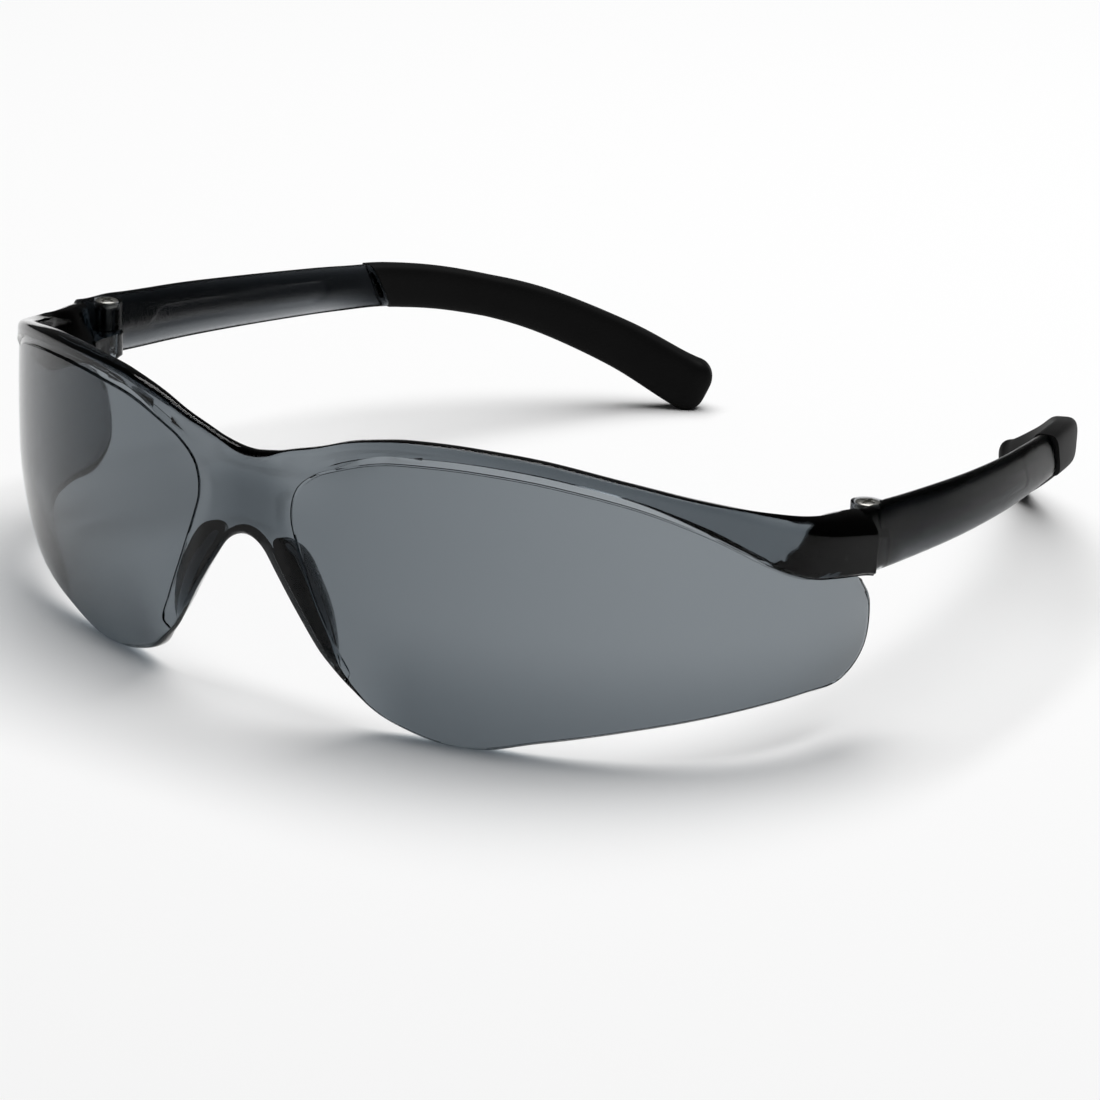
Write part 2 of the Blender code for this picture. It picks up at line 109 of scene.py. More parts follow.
def linear(colour: str) -> tuple[float, ...]:
    """Turn an sRGB hex colour into linear light.

    Args:
        colour: Six hex digits after a hash.

    Returns:
        Red, green, blue and an alpha of one.
    """
    parts = [int(colour[place : place + 2], 16) / 255 for place in (1, 3, 5)]
    light = [part / 12.92 if part <= 0.04045 else ((part + 0.055) / 1.055) ** 2.4 for part in parts]
    return (*light, 1.0)


def new_material(name: str) -> bpy.types.Material:
    """Make a material with an empty node tree.

    Args:
        name: The material's name.

    Returns:
        The new material.
    """
    made = bpy.data.materials.new(name)
    made.use_nodes = True
    made.node_tree.nodes.clear()
    return made


def add_node(
    tree: bpy.types.NodeTree, kind: str, inputs: dict | None = None, **settings: object
) -> bpy.types.Node:
    """Add a node with its settings, and set or link its inputs.

    Args:
        tree: The node tree that gets the node.
        kind: The node's type.
        inputs: Socket names or numbers, each with a value or with the output that feeds it.
        settings: The node's own properties.

    Returns:
        The new node.
    """
    node = tree.nodes.new(kind)
    for name, value in settings.items():
        setattr(node, name, value)
    for socket, value in (inputs or {}).items():
        if isinstance(value, bpy.types.NodeSocket):
            tree.links.new(value, node.inputs[socket])
        else:
            node.inputs[socket].default_value = value
    return node


def mix(first: Number, last: Number, share: Number) -> Number:
    """Give the value at a share of the way from the first to the last."""
    return first + (last - first) * share


def ramp(value: Number, start: float, end: float) -> np.ndarray:
    """Ease from 0 to 1 as a value goes from start to end."""
    share = np.clip((np.asarray(value, float) - start) / (end - start), 0.0, 1.0)
    return share * share * (3 - 2 * share)


def cubic(
    start: np.ndarray, end: np.ndarray, leave: np.ndarray, arrive: np.ndarray, share: float
) -> np.ndarray:
    """Read a smooth stretch between two values.

    Args:
        start: The value at the start.
        end: The value at the end.
        leave: The rate at which the stretch leaves the start.
        arrive: The rate at which it reaches the end.
        share: Where to read it, from 0 to 1.

    Returns:
        The value there.
    """
    bend = 3 * (end - start) - 2 * leave - arrive
    ease = 2 * (start - end) + leave + arrive
    return start + leave * share + bend * share**2 + ease * share**3


def spline(points: Points, place: float) -> np.ndarray:
    """Read a smooth curve through points.

    Args:
        points: The points that the curve passes through.
        place: Where to read it, counted in points from the first.

    Returns:
        The curve's point there.
    """
    given = np.asarray(points, float)
    last = len(given) - 1
    index = int(min(max(math.floor(place), 0), last - 1))
    start, end = given[index], given[index + 1]
    leave = (end - given[index - 1]) / 2 if index > 0 else end - start
    arrive = (given[index + 2] - start) / 2 if index < last - 1 else end - start
    return cubic(start, end, leave, arrive, place - index)


def only(piece: bpy.types.Object) -> None:
    """Select one object alone and make it active.

    Args:
        piece: The object.
    """
    bpy.ops.object.select_all(action="DESELECT")
    piece.select_set(True)
    bpy.context.view_layer.objects.active = piece


@contextmanager
def edit_mesh(piece: bpy.types.Object) -> Iterator[None]:
    """Edit one object's mesh, with all of it selected at first.

    Args:
        piece: The object to edit.

    Returns:
        A context that leaves edit mode at its end.
    """
    only(piece)
    bpy.ops.object.mode_set(mode="EDIT")
    bpy.ops.mesh.select_all(action="SELECT")
    yield
    bpy.ops.object.mode_set(mode="OBJECT")


def place_points(piece: bpy.types.Object, points: np.ndarray) -> None:
    """Write a mesh's points, given in millimetres, in the order of its vertices."""
    piece.data.vertices.foreach_set("co", (points * MM).astype(np.float32).ravel())
    piece.data.update()


def grid_cells(piece: bpy.types.Object, across: int, along: int) -> tuple[np.ndarray, np.ndarray]:
    """Find the column and row of each vertex of a unit grid.

    Args:
        piece: A grid of size one that hasn't been shaped yet.
        across: How many faces it has along X.
        along: How many faces it has along Y.

    Returns:
        The columns and the rows, in the order of the vertices.
    """
    flat = np.empty(len(piece.data.vertices) * 3)
    piece.data.vertices.foreach_get("co", flat)
    unit = flat.reshape(-1, 3)[:, :2] + 0.5
    return np.rint(unit[:, 0] * across).astype(int), np.rint(unit[:, 1] * along).astype(int)


def add_grid(name: str, across: int, along: int) -> bpy.types.Object:
    """Add a flat grid of size one at the origin.

    Args:
        name: The name of the new object.
        across: How many faces it has along X.
        along: How many faces it has along Y.

    Returns:
        The new object, active and alone in the selection.
    """
    bpy.ops.object.select_all(action="DESELECT")
    bpy.ops.mesh.primitive_grid_add(x_subdivisions=across, y_subdivisions=along, size=1.0)
    piece = bpy.context.object
    piece.name = name
    piece.data.name = name
    return piece


def add_tube(name: str, rings: np.ndarray) -> bpy.types.Object:
    """Wrap a grid round closed rings of points and fill both ends.

    Args:
        name: The name of the new object.
        rings: The points in millimetres, as ring, point in the ring, and X, Y, Z.

    Returns:
        The new closed object.
    """
    along, around = rings.shape[0] - 1, rings.shape[1]
    piece = add_grid(name, around, along)
    columns, rows = grid_cells(piece, around, along)
    place_points(piece, rings[rows, columns % around])
    with edit_mesh(piece):
        bpy.ops.mesh.remove_doubles(threshold=MERGE_DISTANCE)
        bpy.ops.mesh.fill_holes(sides=0)
        bpy.ops.mesh.select_all(action="SELECT")
        bpy.ops.mesh.normals_make_consistent(inside=False)
    return piece


def circle(centre: Pair, radius: float, height: float, sides: int) -> np.ndarray:
    """Give the points of a level circle.

    Args:
        centre: Its X and Y.
        radius: Its radius.
        height: Its Z.
        sides: How many points it has.

    Returns:
        The points.
    """
    turns = np.arange(sides) * 2 * math.pi / sides
    flat = np.stack([np.cos(turns), np.sin(turns), np.zeros(sides)], axis=1) * radius
    return flat + np.array([*centre, height])


def add_turned(name: str, centre: Pair, profile: Points, sides: int = 48) -> bpy.types.Object:
    """Make an upright turned body from the radius and height of each step, in millimetres."""
    return add_tube(name, np.array([circle(centre, radius, height, sides) for radius, height in profile]))


def add_block(name: str, low: Sequence[float], high: Sequence[float]) -> bpy.types.Object:
    """Add a box, as a start or a cutter.

    Args:
        name: The name of the new object.
        low: Its lowest corner in millimetres.
        high: Its highest corner in millimetres.

    Returns:
        The new object.
    """
    bpy.ops.object.select_all(action="DESELECT")
    centre = (Vector(low) + Vector(high)) * MM / 2
    bpy.ops.mesh.primitive_cube_add(size=1.0, location=centre)
    piece = bpy.context.object
    piece.name = name
    piece.scale = (Vector(high) - Vector(low)) * MM
    bpy.ops.object.transform_apply(location=True, rotation=True, scale=True)
    return piece


def apply_boolean(piece: bpy.types.Object, tool: bpy.types.Object, operation: Operation) -> None:
    """Join a tool to a piece or cut it out, and remove the tool.

    Args:
        piece: The piece that changes.
        tool: The tool.
        operation: What the tool does.
    """
    only(piece)
    modifier = piece.modifiers.new("shape", "BOOLEAN")
    modifier.operation = operation.value
    modifier.object = tool
    modifier.solver = "MANIFOLD"
    bpy.ops.object.modifier_apply(modifier=modifier.name)
    bpy.data.objects.remove(tool, do_unlink=True)


def apply_bevel(piece: bpy.types.Object, width: float, segments: int = 2, limit: float = 50.0) -> None:
    """Round the sharp edges of a piece.

    Args:
        piece: The object to round.
        width: The width of the rounding in millimetres.
        segments: How many faces go across it.
        limit: The least angle in degrees of an edge that is rounded.
    """
    only(piece)
    modifier = piece.modifiers.new("round", "BEVEL")
    modifier.width = width * MM
    modifier.segments = segments
    modifier.limit_method = "ANGLE"
    modifier.angle_limit = math.radians(limit)
    modifier.harden_normals = False
    bpy.ops.object.modifier_apply(modifier=modifier.name)


def clean_mesh(piece: bpy.types.Object) -> None:
    """Merge the points that cuts left side by side, and split the many-sided faces into triangles.

    Args:
        piece: The piece to clean.
    """
    with edit_mesh(piece):
        bpy.ops.mesh.remove_doubles(threshold=MERGE_DISTANCE)
        bpy.ops.mesh.select_face_by_sides(number=QUAD_SIDES, type="GREATER", extend=False)
        bpy.ops.mesh.quads_convert_to_tris()


def finish_piece(piece: bpy.types.Object, material: bpy.types.Material, body: str) -> None:
    """Clean and shade a finished piece, give it its material and let it ride on its body.

    Args:
        piece: The finished object.
        material: Its material.
        body: The name of the CAD body that it moves with.
    """
    clean_mesh(piece)
    bpy.ops.object.shade_smooth_by_angle(angle=CREASE_ANGLE)
    piece.data.materials.clear()
    piece.data.materials.append(material)
    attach(piece, body)
    LOG.info("%s: %d faces on %s", piece.name, len(piece.data.polygons), body)


@dataclass(frozen=True)
class SmokePolycarbonate:
    """Clear smoke-grey polycarbonate, injection moulded and polished.

    Light is absorbed along its path through it, so thin walls look grey and thick ones black.
    """

    name: str = "moulded smoke polycarbonate"
    refraction: float = 1.585
    passed_colour: str = "#AFB6BB"
    density: float = 1580.0
    gloss_tint: str = "#6C6C6C"
    roughness: Pair = (0.012, 0.04)
    haze_size: float = 9.0
    haze_detail: float = 3.0

    def material(self) -> bpy.types.Material:
        """Make the material.

        Returns:
            The new material.
        """
        made = new_material(self.name)
        tree = made.node_tree
        place = add_node(tree, "ShaderNodeTexCoord").outputs["Object"]
        # Faint wiping haze, in patches of a few millimetres
        haze = add_node(
            tree,
            "ShaderNodeTexNoise",
            {"Vector": place, "Scale": 1 / (self.haze_size * MM), "Detail": self.haze_detail},
        )
        low, high = self.roughness
        gloss = add_node(
            tree, "ShaderNodeMapRange", {"Value": haze.outputs["Fac"], "To Min": low, "To Max": high}
        )
        clear = add_node(
            tree,
            "ShaderNodeBsdfPrincipled",
            {
                "Base Color": linear(WHITE),
                "Roughness": gloss.outputs["Result"],
                "IOR": self.refraction,
                "Specular Tint": linear(self.gloss_tint),
                "Transmission Weight": 1.0,
            },
        )
        # Lamps reach what lies behind the moulding, dimmed by the smoke tint inside it
        light = add_node(tree, "ShaderNodeLightPath")
        window = add_node(tree, "ShaderNodeBsdfTransparent", {"Color": linear(WHITE)})
        surface = add_node(
            tree,
            "ShaderNodeMixShader",
            {0: light.outputs["Is Shadow Ray"], 1: clear.outputs["BSDF"], 2: window.outputs["BSDF"]},
        )
        tint = add_node(
            tree,
            "ShaderNodeVolumeAbsorption",
            {"Color": linear(self.passed_colour), "Density": self.density},
        )
        add_node(
            tree,
            "ShaderNodeOutputMaterial",
            {"Surface": surface.outputs["Shader"], "Volume": tint.outputs["Volume"]},
        )
        return made


@dataclass(frozen=True)
class MattSmokePolycarbonate(SmokePolycarbonate):
    """The same plastic with more tint, moulded against a matt tool: nearly black, with a soft gloss.

    Its refraction is below the real value, because a pale floor's reflections would turn it grey.
    """

    name: str = "matt smoke polycarbonate"
    refraction: float = 1.15
    passed_colour: str = "#B3B6B9"
    density: float = 2450.0
    gloss_tint: str = "#000000"
    roughness: Pair = (0.2, 0.3)


@dataclass(frozen=True)
class BlackRubber:
    """Black thermoplastic rubber, moulded against a blasted tool: matte, with a fine grain and a sheen."""

    name: str = "moulded black rubber"
    dark: str = "#060606"
    light: str = "#0C0C0C"
    mottle_size: float = 6.0
    mottle_detail: float = 4.0
    grain_size: float = 0.35
    grain_detail: float = 2.0
    grain_height: float = 0.02
    grain_strength: float = 0.5
    roughness: float = 0.6
    gloss: float = 0.08
    sheen: float = 0.03
    sheen_roughness: float = 0.4

    def material(self) -> bpy.types.Material:
        """Make the material.

        Returns:
            The new material.
        """
        made = new_material(self.name)
        tree = made.node_tree
        place = add_node(tree, "ShaderNodeTexCoord").outputs["Object"]
        mottle = add_node(
            tree,
            "ShaderNodeTexNoise",
            {"Vector": place, "Scale": 1 / (self.mottle_size * MM), "Detail": self.mottle_detail},
        )
        colour = add_node(
            tree,
            "ShaderNodeMix",
            {0: mottle.outputs["Fac"], 6: linear(self.dark), 7: linear(self.light)},
            data_type="RGBA",
        )
        # The blasted grain is finer than a pixel, so it is drawn at about a third of a millimetre
        grain = add_node(
            tree,
            "ShaderNodeTexNoise",
            {"Vector": place, "Scale": 1 / (self.grain_size * MM), "Detail": self.grain_detail},
        )
        bump = add_node(
            tree,
            "ShaderNodeBump",
            {
                "Height": grain.outputs["Fac"],
                "Distance": self.grain_height * MM,
                "Strength": self.grain_strength,
            },
        )
        shader = add_node(
            tree,
            "ShaderNodeBsdfPrincipled",
            {
                "Base Color": colour.outputs[2],
                "Roughness": self.roughness,
                "Specular IOR Level": self.gloss,
                "Normal": bump.outputs["Normal"],
                "Sheen Weight": self.sheen,
                "Sheen Roughness": self.sheen_roughness,
            },
        )
        add_node(tree, "ShaderNodeOutputMaterial", {"Surface": shader.outputs["BSDF"]})
        return made


@dataclass(frozen=True)
class PlatedSteel:
    """Zinc-plated screw steel: bright, with faint turning marks."""

    name: str = "zinc plated steel"
    bright: str = "#C9C8C2"
    dull: str = "#8E8D88"
    mark_size: float = 0.25
    mark_detail: float = 2.0
    roughness: Pair = (0.2, 0.42)

    def material(self) -> bpy.types.Material:
        """Make the material.

        Returns:
            The new material.
        """
        made = new_material(self.name)
        tree = made.node_tree
        place = add_node(tree, "ShaderNodeTexCoord").outputs["Object"]
        marks = add_node(
            tree,
            "ShaderNodeTexNoise",
            {"Vector": place, "Scale": 1 / (self.mark_size * MM), "Detail": self.mark_detail},
        )
        colour = add_node(
            tree,
            "ShaderNodeMix",
            {0: marks.outputs["Fac"], 6: linear(self.dull), 7: linear(self.bright)},
            data_type="RGBA",
        )
        low, high = self.roughness
        gloss = add_node(
            tree, "ShaderNodeMapRange", {"Value": marks.outputs["Fac"], "To Min": low, "To Max": high}
        )
        shader = add_node(
            tree,
            "ShaderNodeBsdfPrincipled",
            {"Base Color": colour.outputs[2], "Metallic": 1.0, "Roughness": gloss.outputs["Result"]},
        )
        add_node(tree, "ShaderNodeOutputMaterial", {"Surface": shader.outputs["BSDF"]})
        return made


@dataclass(frozen=True)
class FloorPaint:
    """Pale matt floor paint: even and without gloss."""

    name: str = "pale floor paint"
    colour: str = "#F8F8F8"
    roughness: float = 0.9

    def material(self) -> bpy.types.Material:
        """Make the material.

        Returns:
            The new material.
        """
        made = new_material(self.name)
        shader = add_node(
            made.node_tree,
            "ShaderNodeBsdfPrincipled",
            {"Base Color": linear(self.colour), "Roughness": self.roughness, "Specular IOR Level": 0.0},
        )
        add_node(made.node_tree, "ShaderNodeOutputMaterial", {"Surface": shader.outputs["BSDF"]})
        return made


@dataclass(frozen=True)
class Hinge:
    """Where a hinge screw stands, and the sizes round it."""

    x: float = 68.5
    y: float = -31.1
    seam_y: float = -35.5
    gap: float = 0.3
    lug_radius: float = 2.7
    lug_arm_inset: float = 0.04
    lug_arm_outer: float = 1.0
    lug_root: float = 1.2
    lug_bottom: float = 26.9
    lug_top: float = 29.6
    lug_skirt: float = 25.7
    lug_rounding: float = 0.2
    lug_bevel: float = 0.12
    knuckle_radius: float = 2.4
    knuckle_top: float = 33.3
    rim_drop: float = 0.2
    seat_gap: float = 0.12
    shank_radius: float = 0.9
    head_radius: float = 1.8
    head_height: float = 1.0
    reach: float = 8.0

    @property
    def bore_radius(self) -> float:
        """The radius of the hole that the screw's shank turns in."""
        return self.shank_radius + self.gap

    @property
    def head_seat(self) -> float:
        """The height of the underside of the screw's head."""
        return self.knuckle_top + self.gap

    def centre(self, side: Side) -> Pair:
        """Give the screw's place on one side."""
        return side.value * self.x, self.y

    def post(self, name: str, side: Side, radius: float, low: float, high: float) -> bpy.types.Object:
        """Add an upright cylinder round the screw's axis."""
        return add_turned(name, self.centre(side), ((radius, low), (radius, high)))

    def box(self, name: str, side: Side, low: Sequence[float], high: Sequence[float]) -> bpy.types.Object:
        """Add a box given for the left side, or its mirror image."""
        near, far = sorted((side.value * low[0], side.value * high[0]))
        return add_block(name, (near, low[1], low[2]), (far, high[1], high[2]))


@dataclass
class LensShield:
    """The one-piece moulding: two windows, bridge, brow, end blocks and nose pads.

    The front surface is given by an angle from the nose and a height. Each point of the shield lies at a
    depth inside that surface. The edges are lists of angles and heights.
    """

    hinge: Hinge
    # The front surface
    radius: float = 75.6
    upper_radius: float = 310.0
    lower_radius: float = 66.0
    squareness: float = 2.43
    lean: float = math.tan(math.radians(4.4))
    middle_z: float = 22.0
    centre_y: float = -7.8
    toe_angles: Pair = (46.0, 70.0)
    toe_in: float = 3.3
    mm_per_degree: float = 1.34
    slope_step: float = 0.5
    # The edges
    lower_edge: Points = (
        (0.0, 26.15), (2.2, 24.9), (4.2, 21.3), (6.9, 15.8), (9.7, 10.1), (12.5, 6.1), (16.8, 2.0),
        (25.2, -0.45), (33.8, 2.3), (44.0, 5.3), (54.2, 7.4), (62.5, 8.25), (68.8, 8.5), (72.9, 12.5),
        (73.2, 19.5), (71.3, 23.6),
    )
    brow_line: Points = (
        (0.0, 36.3), (3.0, 36.4), (5.6, 36.8), (8.6, 37.4), (12.1, 39.4), (15.8, 41.0), (19.6, 41.8),
        (26.3, 42.2), (34.0, 41.4), (42.5, 38.8), (50.0, 34.6), (56.8, 29.5), (61.0, 27.0), (64.5, 26.3),
        (67.2, 26.0), (68.8, 25.6),
    )
    top_edge: Points = (
        (0.0, 38.7), (3.2, 39.3), (6.0, 40.4), (9.0, 41.6), (12.4, 43.2), (16.0, 44.35), (19.8, 45.05),
        (26.0, 45.25), (33.8, 44.4), (42.5, 41.9), (50.5, 39.1), (57.5, 37.1), (62.3, 36.0), (65.8, 35.5),
        (67.6, 35.35), (69.2, 35.2),
    )
    window_side: Points = (
        (12.0, 7.4), (12.7, 8.8), (11.1, 13.0), (9.0, 19.2), (7.6, 24.1), (6.75, 27.3), (6.2, 30.0),
        (6.25, 32.8), (7.1, 35.4), (9.3, 37.8), (12.1, 39.4),
    )
    # Columns along the edges, as first place, last place and step, and rows up the windows in millimetres
    column_stretches: Points = ((0.0, 1.2, 0.1), (1.2, 4.8, 0.05), (4.8, 14.95, 0.1))
    end_columns: Pair = (14.96, 15.0)
    seam_columns: float = 2.5
    edge_rows: tuple[float, ...] = (0.0, 0.1, 0.22, 0.36, 0.52, 0.75, 1.05, 1.5)
    edge_front: tuple[float, ...] = (0.55, 0.4, 0.28, 0.15, 0.03, 0.0, 0.0, 0.0)
    edge_back: tuple[float, ...] = (0.3, 0.15, 0.06, 0.0, 0.0, 0.0, 0.0, 0.0)
    window_rows: int = 40
    line_rows: tuple[float, ...] = (0.6, 0.3, 0.12)
    # Walls
    window_walls: Pair = (2.0, 1.52)
    window_wall_angles: Pair = (10.0, 62.0)
    brow_wall: float = 2.35
    bridge_top_wall: float = 1.7
    bridge_top_angles: Pair = (8.0, 34.0)
    bridge_thin_share: float = 0.6
    bridge_thin_angles: Pair = (5.0, 13.0)
    bridge_thin_heights: Pair = (29.0, 37.0)
    bridge_extra: float = 0.4
    bridge_angles: Pair = (0.8, 5.8)
    bridge_heights: tuple[float, float, float, float] = (25.0, 28.5, 36.0, 39.0)
    low_wall: float = 0.5
    low_heights: Pair = (2.0, 20.0)
    low_angles: Pair = (12.0, 20.0)
    # Margins that stand proud beside the windows
    bridge_proud: float = 0.25
    margin_ramp: Pair = (0.25, 3.0)
    margin_heights: tuple[float, float, float, float] = (8.0, 12.0, 33.0, 36.5)
    nose_flare: float = 1.0
    flare_end: Pair = (4.0, 5.6)
    # The brow's front, with its channel above the windows
    brow_proud: float = 0.25
    channel_width: float = 1.15
    channel_depth: float = 0.4
    channel_step: float = 0.08
    channel_start: Pair = (9.0, 17.0)
    channel_end: Pair = (44.0, 54.0)
    crest_share: float = 0.55
    # Falls from the top edge with their depths, where the edge is rounded
    front_rounding: Points = ((0.9, 0.0), (0.45, 0.14), (0.15, 0.38), (0.0, 0.75))
    back_rounding: Points = ((0.9, 0.0), (0.45, 0.05), (0.15, 0.2), (0.0, 0.5))
    # The ledge behind the channel, and shares of the brow's height and depth on the bridge's slope
    ledge_rises: Pair = (0.7, 0.1)
    ledge_steps: Pair = (0.15, 0.9)
    ledge_angles: Pair = (40.0, 55.0)
    ledge_start: Pair = (7.0, 12.0)
    ledge_shares: Pair = (0.45, 0.62)
    bridge_slope: Points = ((0.12, 0.05), (0.28, 0.25), (0.45, 0.5), (0.62, 0.8))
    # Places of the rows above the brow line, counted in corners
    brow_rows: tuple[float, ...] = (
        0.0, 1.0, 1.5, 2.0, 3.0, 3.33, 3.67, 4.0, 4.33, 4.67, 5.0, 5.33, 5.67, 6.0, 6.33, 6.67, 7.0, 7.33,
        7.67, 8.0,
    )
    rounded_from: int = 3
    # The end blocks
    block_angles: tuple[float, float, float] = (49.0, 60.5, 69.9)
    solid_angles: Pair = (55.5, 59.5)
    solid_lean: float = 1.5
    solid_rows: int = 4
    # Corners of a block's faces from the bottom up, at its start and at its end: 0 from the brow line to 1
    # from the top edge, then rise and depth
    block_front: tuple[Points, Points] = (
        (
            (0, 0.08, 0.12), (0, 0.2, 0.15), (0, 0.5, -0.2), (0.5, -0.9, -0.2), (1, -2.4, -0.1),
            (1, -0.8, 0.5), (1, -0.35, 0.95), (1, -0.1, 1.4),
        ),
        (
            (0, 0.08, 0.12), (0, 0.2, 0.15), (0, 0.55, -0.25), (0.5, -1.2, -0.25), (1, -3.2, -0.25),
            (1, -1.5, 0.9), (1, -0.85, 1.9), (1, -0.55, 3.0),
        ),
    )
    block_back: tuple[Points, Points] = (
        (
            (0, 0.4, 3.5), (0, 0.8, 5.0), (0, 1.3, 6.5), (0.5, -0.5, 5.3), (1, -2.6, 4.2),
            (1, -1.7, 3.8), (1, -0.9, 3.4), (1, -0.4, 2.9),
        ),
        (
            (0, 0.45, 3.9), (0, 0.95, 5.8), (0, 1.5, 7.5), (0.5, -0.8, 6.2), (1, -3.0, 4.9),
            (1, -1.9, 4.5), (1, -1.0, 4.1), (1, -0.5, 3.6),
        ),
    )
    # Fine grooves round the windows
    groove_sides: int = 8
    groove_columns: int = 240
    side_columns: int = 24
    window_top_places: Pair = (4.0, 14.7)
    window_groove_radii: Pair = (0.25, 0.17)
    window_groove_turn: Pair = (0.8, 1.2)
    edge_groove_inset: float = 0.6
    edge_groove_places: Pair = (5.2, 14.6)
    edge_groove_radii: Pair = (0.09, 0.28)
    edge_groove_turn: Pair = (11.0, 12.6)
    # Nose pads. A section goes sideways from the nose gap, then back
    pad_root: float = 1.0
    pad_inset: float = 0.5
    pad_rings: int = 72
    pad_roundings: int = 3
    pad_corner_share: float = 0.2
    pad_outline: Points = ((0.0, 0.0), (1.0, 2.0), (2.1, 4.5), (4.0, 4.6), (5.2, 2.2), (5.3, 0.0))
    # Places along the lower edge, with the section's share of its size, the point it shrinks to, and its lift
    pad_stations: Points = (
        (0.7, 0.12, 2.7, 1.3), (0.75, 0.45, 2.7, 1.15), (0.9, 0.78, 2.6, 0.7), (1.2, 0.97, 2.3, 0.2),
        (1.8, 1.0, 1.2, 0.0), (2.6, 0.9, 0.3, 0.0), (3.3, 0.66, 0.0, 0.0), (3.8, 0.4, 0.0, 0.0),
        (4.3, 0.14, 0.0, 0.0),
    )

    def edge(self, points: Points, place: float) -> np.ndarray:
        """Read an edge that crosses the middle level, because its other half mirrors it."""
        return spline(((-points[1][0], points[1][1]), *points), place + 1)

    def edges(self, points: Points, places: np.ndarray) -> np.ndarray:
        """Read an edge at several places."""
        return np.array([self.edge(points, place) for place in places])

    def places(self) -> np.ndarray:
        """Give the places of one half's columns along the edges, closest together beside the nose."""
        return np.concatenate([*(np.arange(*stretch) for stretch in self.column_stretches), self.end_columns])

    def surface(self, angle: np.ndarray, height: np.ndarray, toed: np.ndarray) -> np.ndarray:
        """Give points of the front surface.

        Args:
            angle: Angles from the nose in degrees, positive on the wearer's left.
            height: Heights above the table.
            toed: How much the wings' turn inwards counts at each point, from 0 to 1.

        Returns:
            The points, with X, Y and Z last.
        """
        turn = np.radians(angle)
        rise = height - self.middle_z
        barrel = np.where(rise > 0, self.upper_radius, self.lower_radius)
        radius = self.radius - rise**2 / (2 * barrel)
        power = self.squareness
        spread = np.abs(np.sin(turn)) ** power + np.abs(np.cos(turn)) ** power
        reach = radius / spread ** (1 / power)
        start, full = self.toe_angles
        toe = np.maximum(0.0, (np.abs(angle) - start) / (full - start)) * np.sqrt(toed)
        across = reach * np.sin(turn) - np.sign(angle) * self.toe_in * toe**2
        return np.stack([across, self.centre_y - self.lean * rise - reach * np.cos(turn), height], axis=-1)

    def sunk(self, angle: np.ndarray, height: np.ndarray, toed: np.ndarray, depth: np.ndarray) -> np.ndarray:
        """Give points at a depth inside the front surface.

        Args:
            angle: Angles from the nose in degrees.
            height: Heights above the table.
            toed: How much the wings' turn inwards counts at each point, from 0 to 1.
            depth: Depths inside the surface.

        Returns:
            The points, with X, Y and Z last.
        """
        step = self.slope_step
        way = self.surface(angle + step, height, toed) - self.surface(angle - step, height, toed)
        way /= np.linalg.norm(way, axis=-1, keepdims=True)
        inward = np.stack([-way[..., 1], way[..., 0], np.zeros_like(angle)], axis=-1)
        inward /= np.linalg.norm(inward, axis=-1, keepdims=True)
        return self.surface(angle, height, toed) + inward * depth[..., None]

    def directions(self, angle: float, height: float) -> tuple[np.ndarray, np.ndarray, np.ndarray]:
        """Find how the front lies at one point.

        Args:
            angle: The point's angle from the nose in degrees.
            height: Its height above the table.

        Returns:
            The point, and the sideways and inward directions there.
        """
        turn, level, toed = np.array([angle]), np.array([height]), np.ones(1)
        point = self.surface(turn, level, toed)[0]
        inward = self.sunk(turn, level, toed, np.ones(1))[0] - point
        return point, np.array([inward[1], -inward[0], 0.0]), inward

    def inset(self, places: np.ndarray) -> np.ndarray:
        """Find the way from the lower edge into the lens.

        Args:
            places: Places along the edge.

        Returns:
            A move of one millimetre at each place, in degrees and height.
        """
        after, before = (self.edges(self.lower_edge, places + step) for step in (TANGENT_STEP, -TANGENT_STEP))
        way = (after - before) * np.array([self.mm_per_degree, 1.0])
        way /= np.linalg.norm(way, axis=1, keepdims=True)
        return np.stack([-way[:, 1] / self.mm_per_degree, way[:, 0]], axis=1)

    def back_depth(self, angle: np.ndarray, height: np.ndarray) -> np.ndarray:
        """Give the depth of the back below the brow line.

        The windows thin towards the wings and the bridge towards its top. The bridge's middle and the lowest
        part of the windows are thicker.

        Args:
            angle: Angles from the nose in degrees.
            height: Heights above the table.

        Returns:
            The depths.
        """
        wall = np.interp(angle, self.window_wall_angles, self.window_walls)
        thinned = 1 - ramp(angle, *self.bridge_thin_angles)
        thinned = thinned * ramp(height, *self.bridge_thin_heights) * self.bridge_thin_share
        first, full, fading, last = self.bridge_heights
        middle = 1 - ramp(angle, *self.bridge_angles)
        middle = middle * ramp(height, first, full) * (1 - ramp(height, fading, last))
        low = (1 - ramp(height, *self.low_heights)) * ramp(angle, *self.low_angles)
        plain = wall - (wall - self.bridge_top_wall) * thinned
        return plain + self.bridge_extra * middle + self.low_wall * low

    def proud_margin(self, angle: np.ndarray, height: np.ndarray) -> np.ndarray:
        """Give how far the front of the bridge and nose sides stands proud of the windows.

        Args:
            angle: Angles from the nose in degrees.
            height: Heights above the table.

        Returns:
            The heights of the relief.
        """
        line = np.array(sorted(self.window_side[1:], key=lambda point: point[1]))
        beside = (np.interp(height, line[:, 1], line[:, 0]) - angle) * self.mm_per_degree
        first, full, fading, last = self.margin_heights
        margin = self.bridge_proud * ramp(beside, *self.margin_ramp)
        return margin * ramp(height, first, full) * (1 - ramp(height, fading, last))

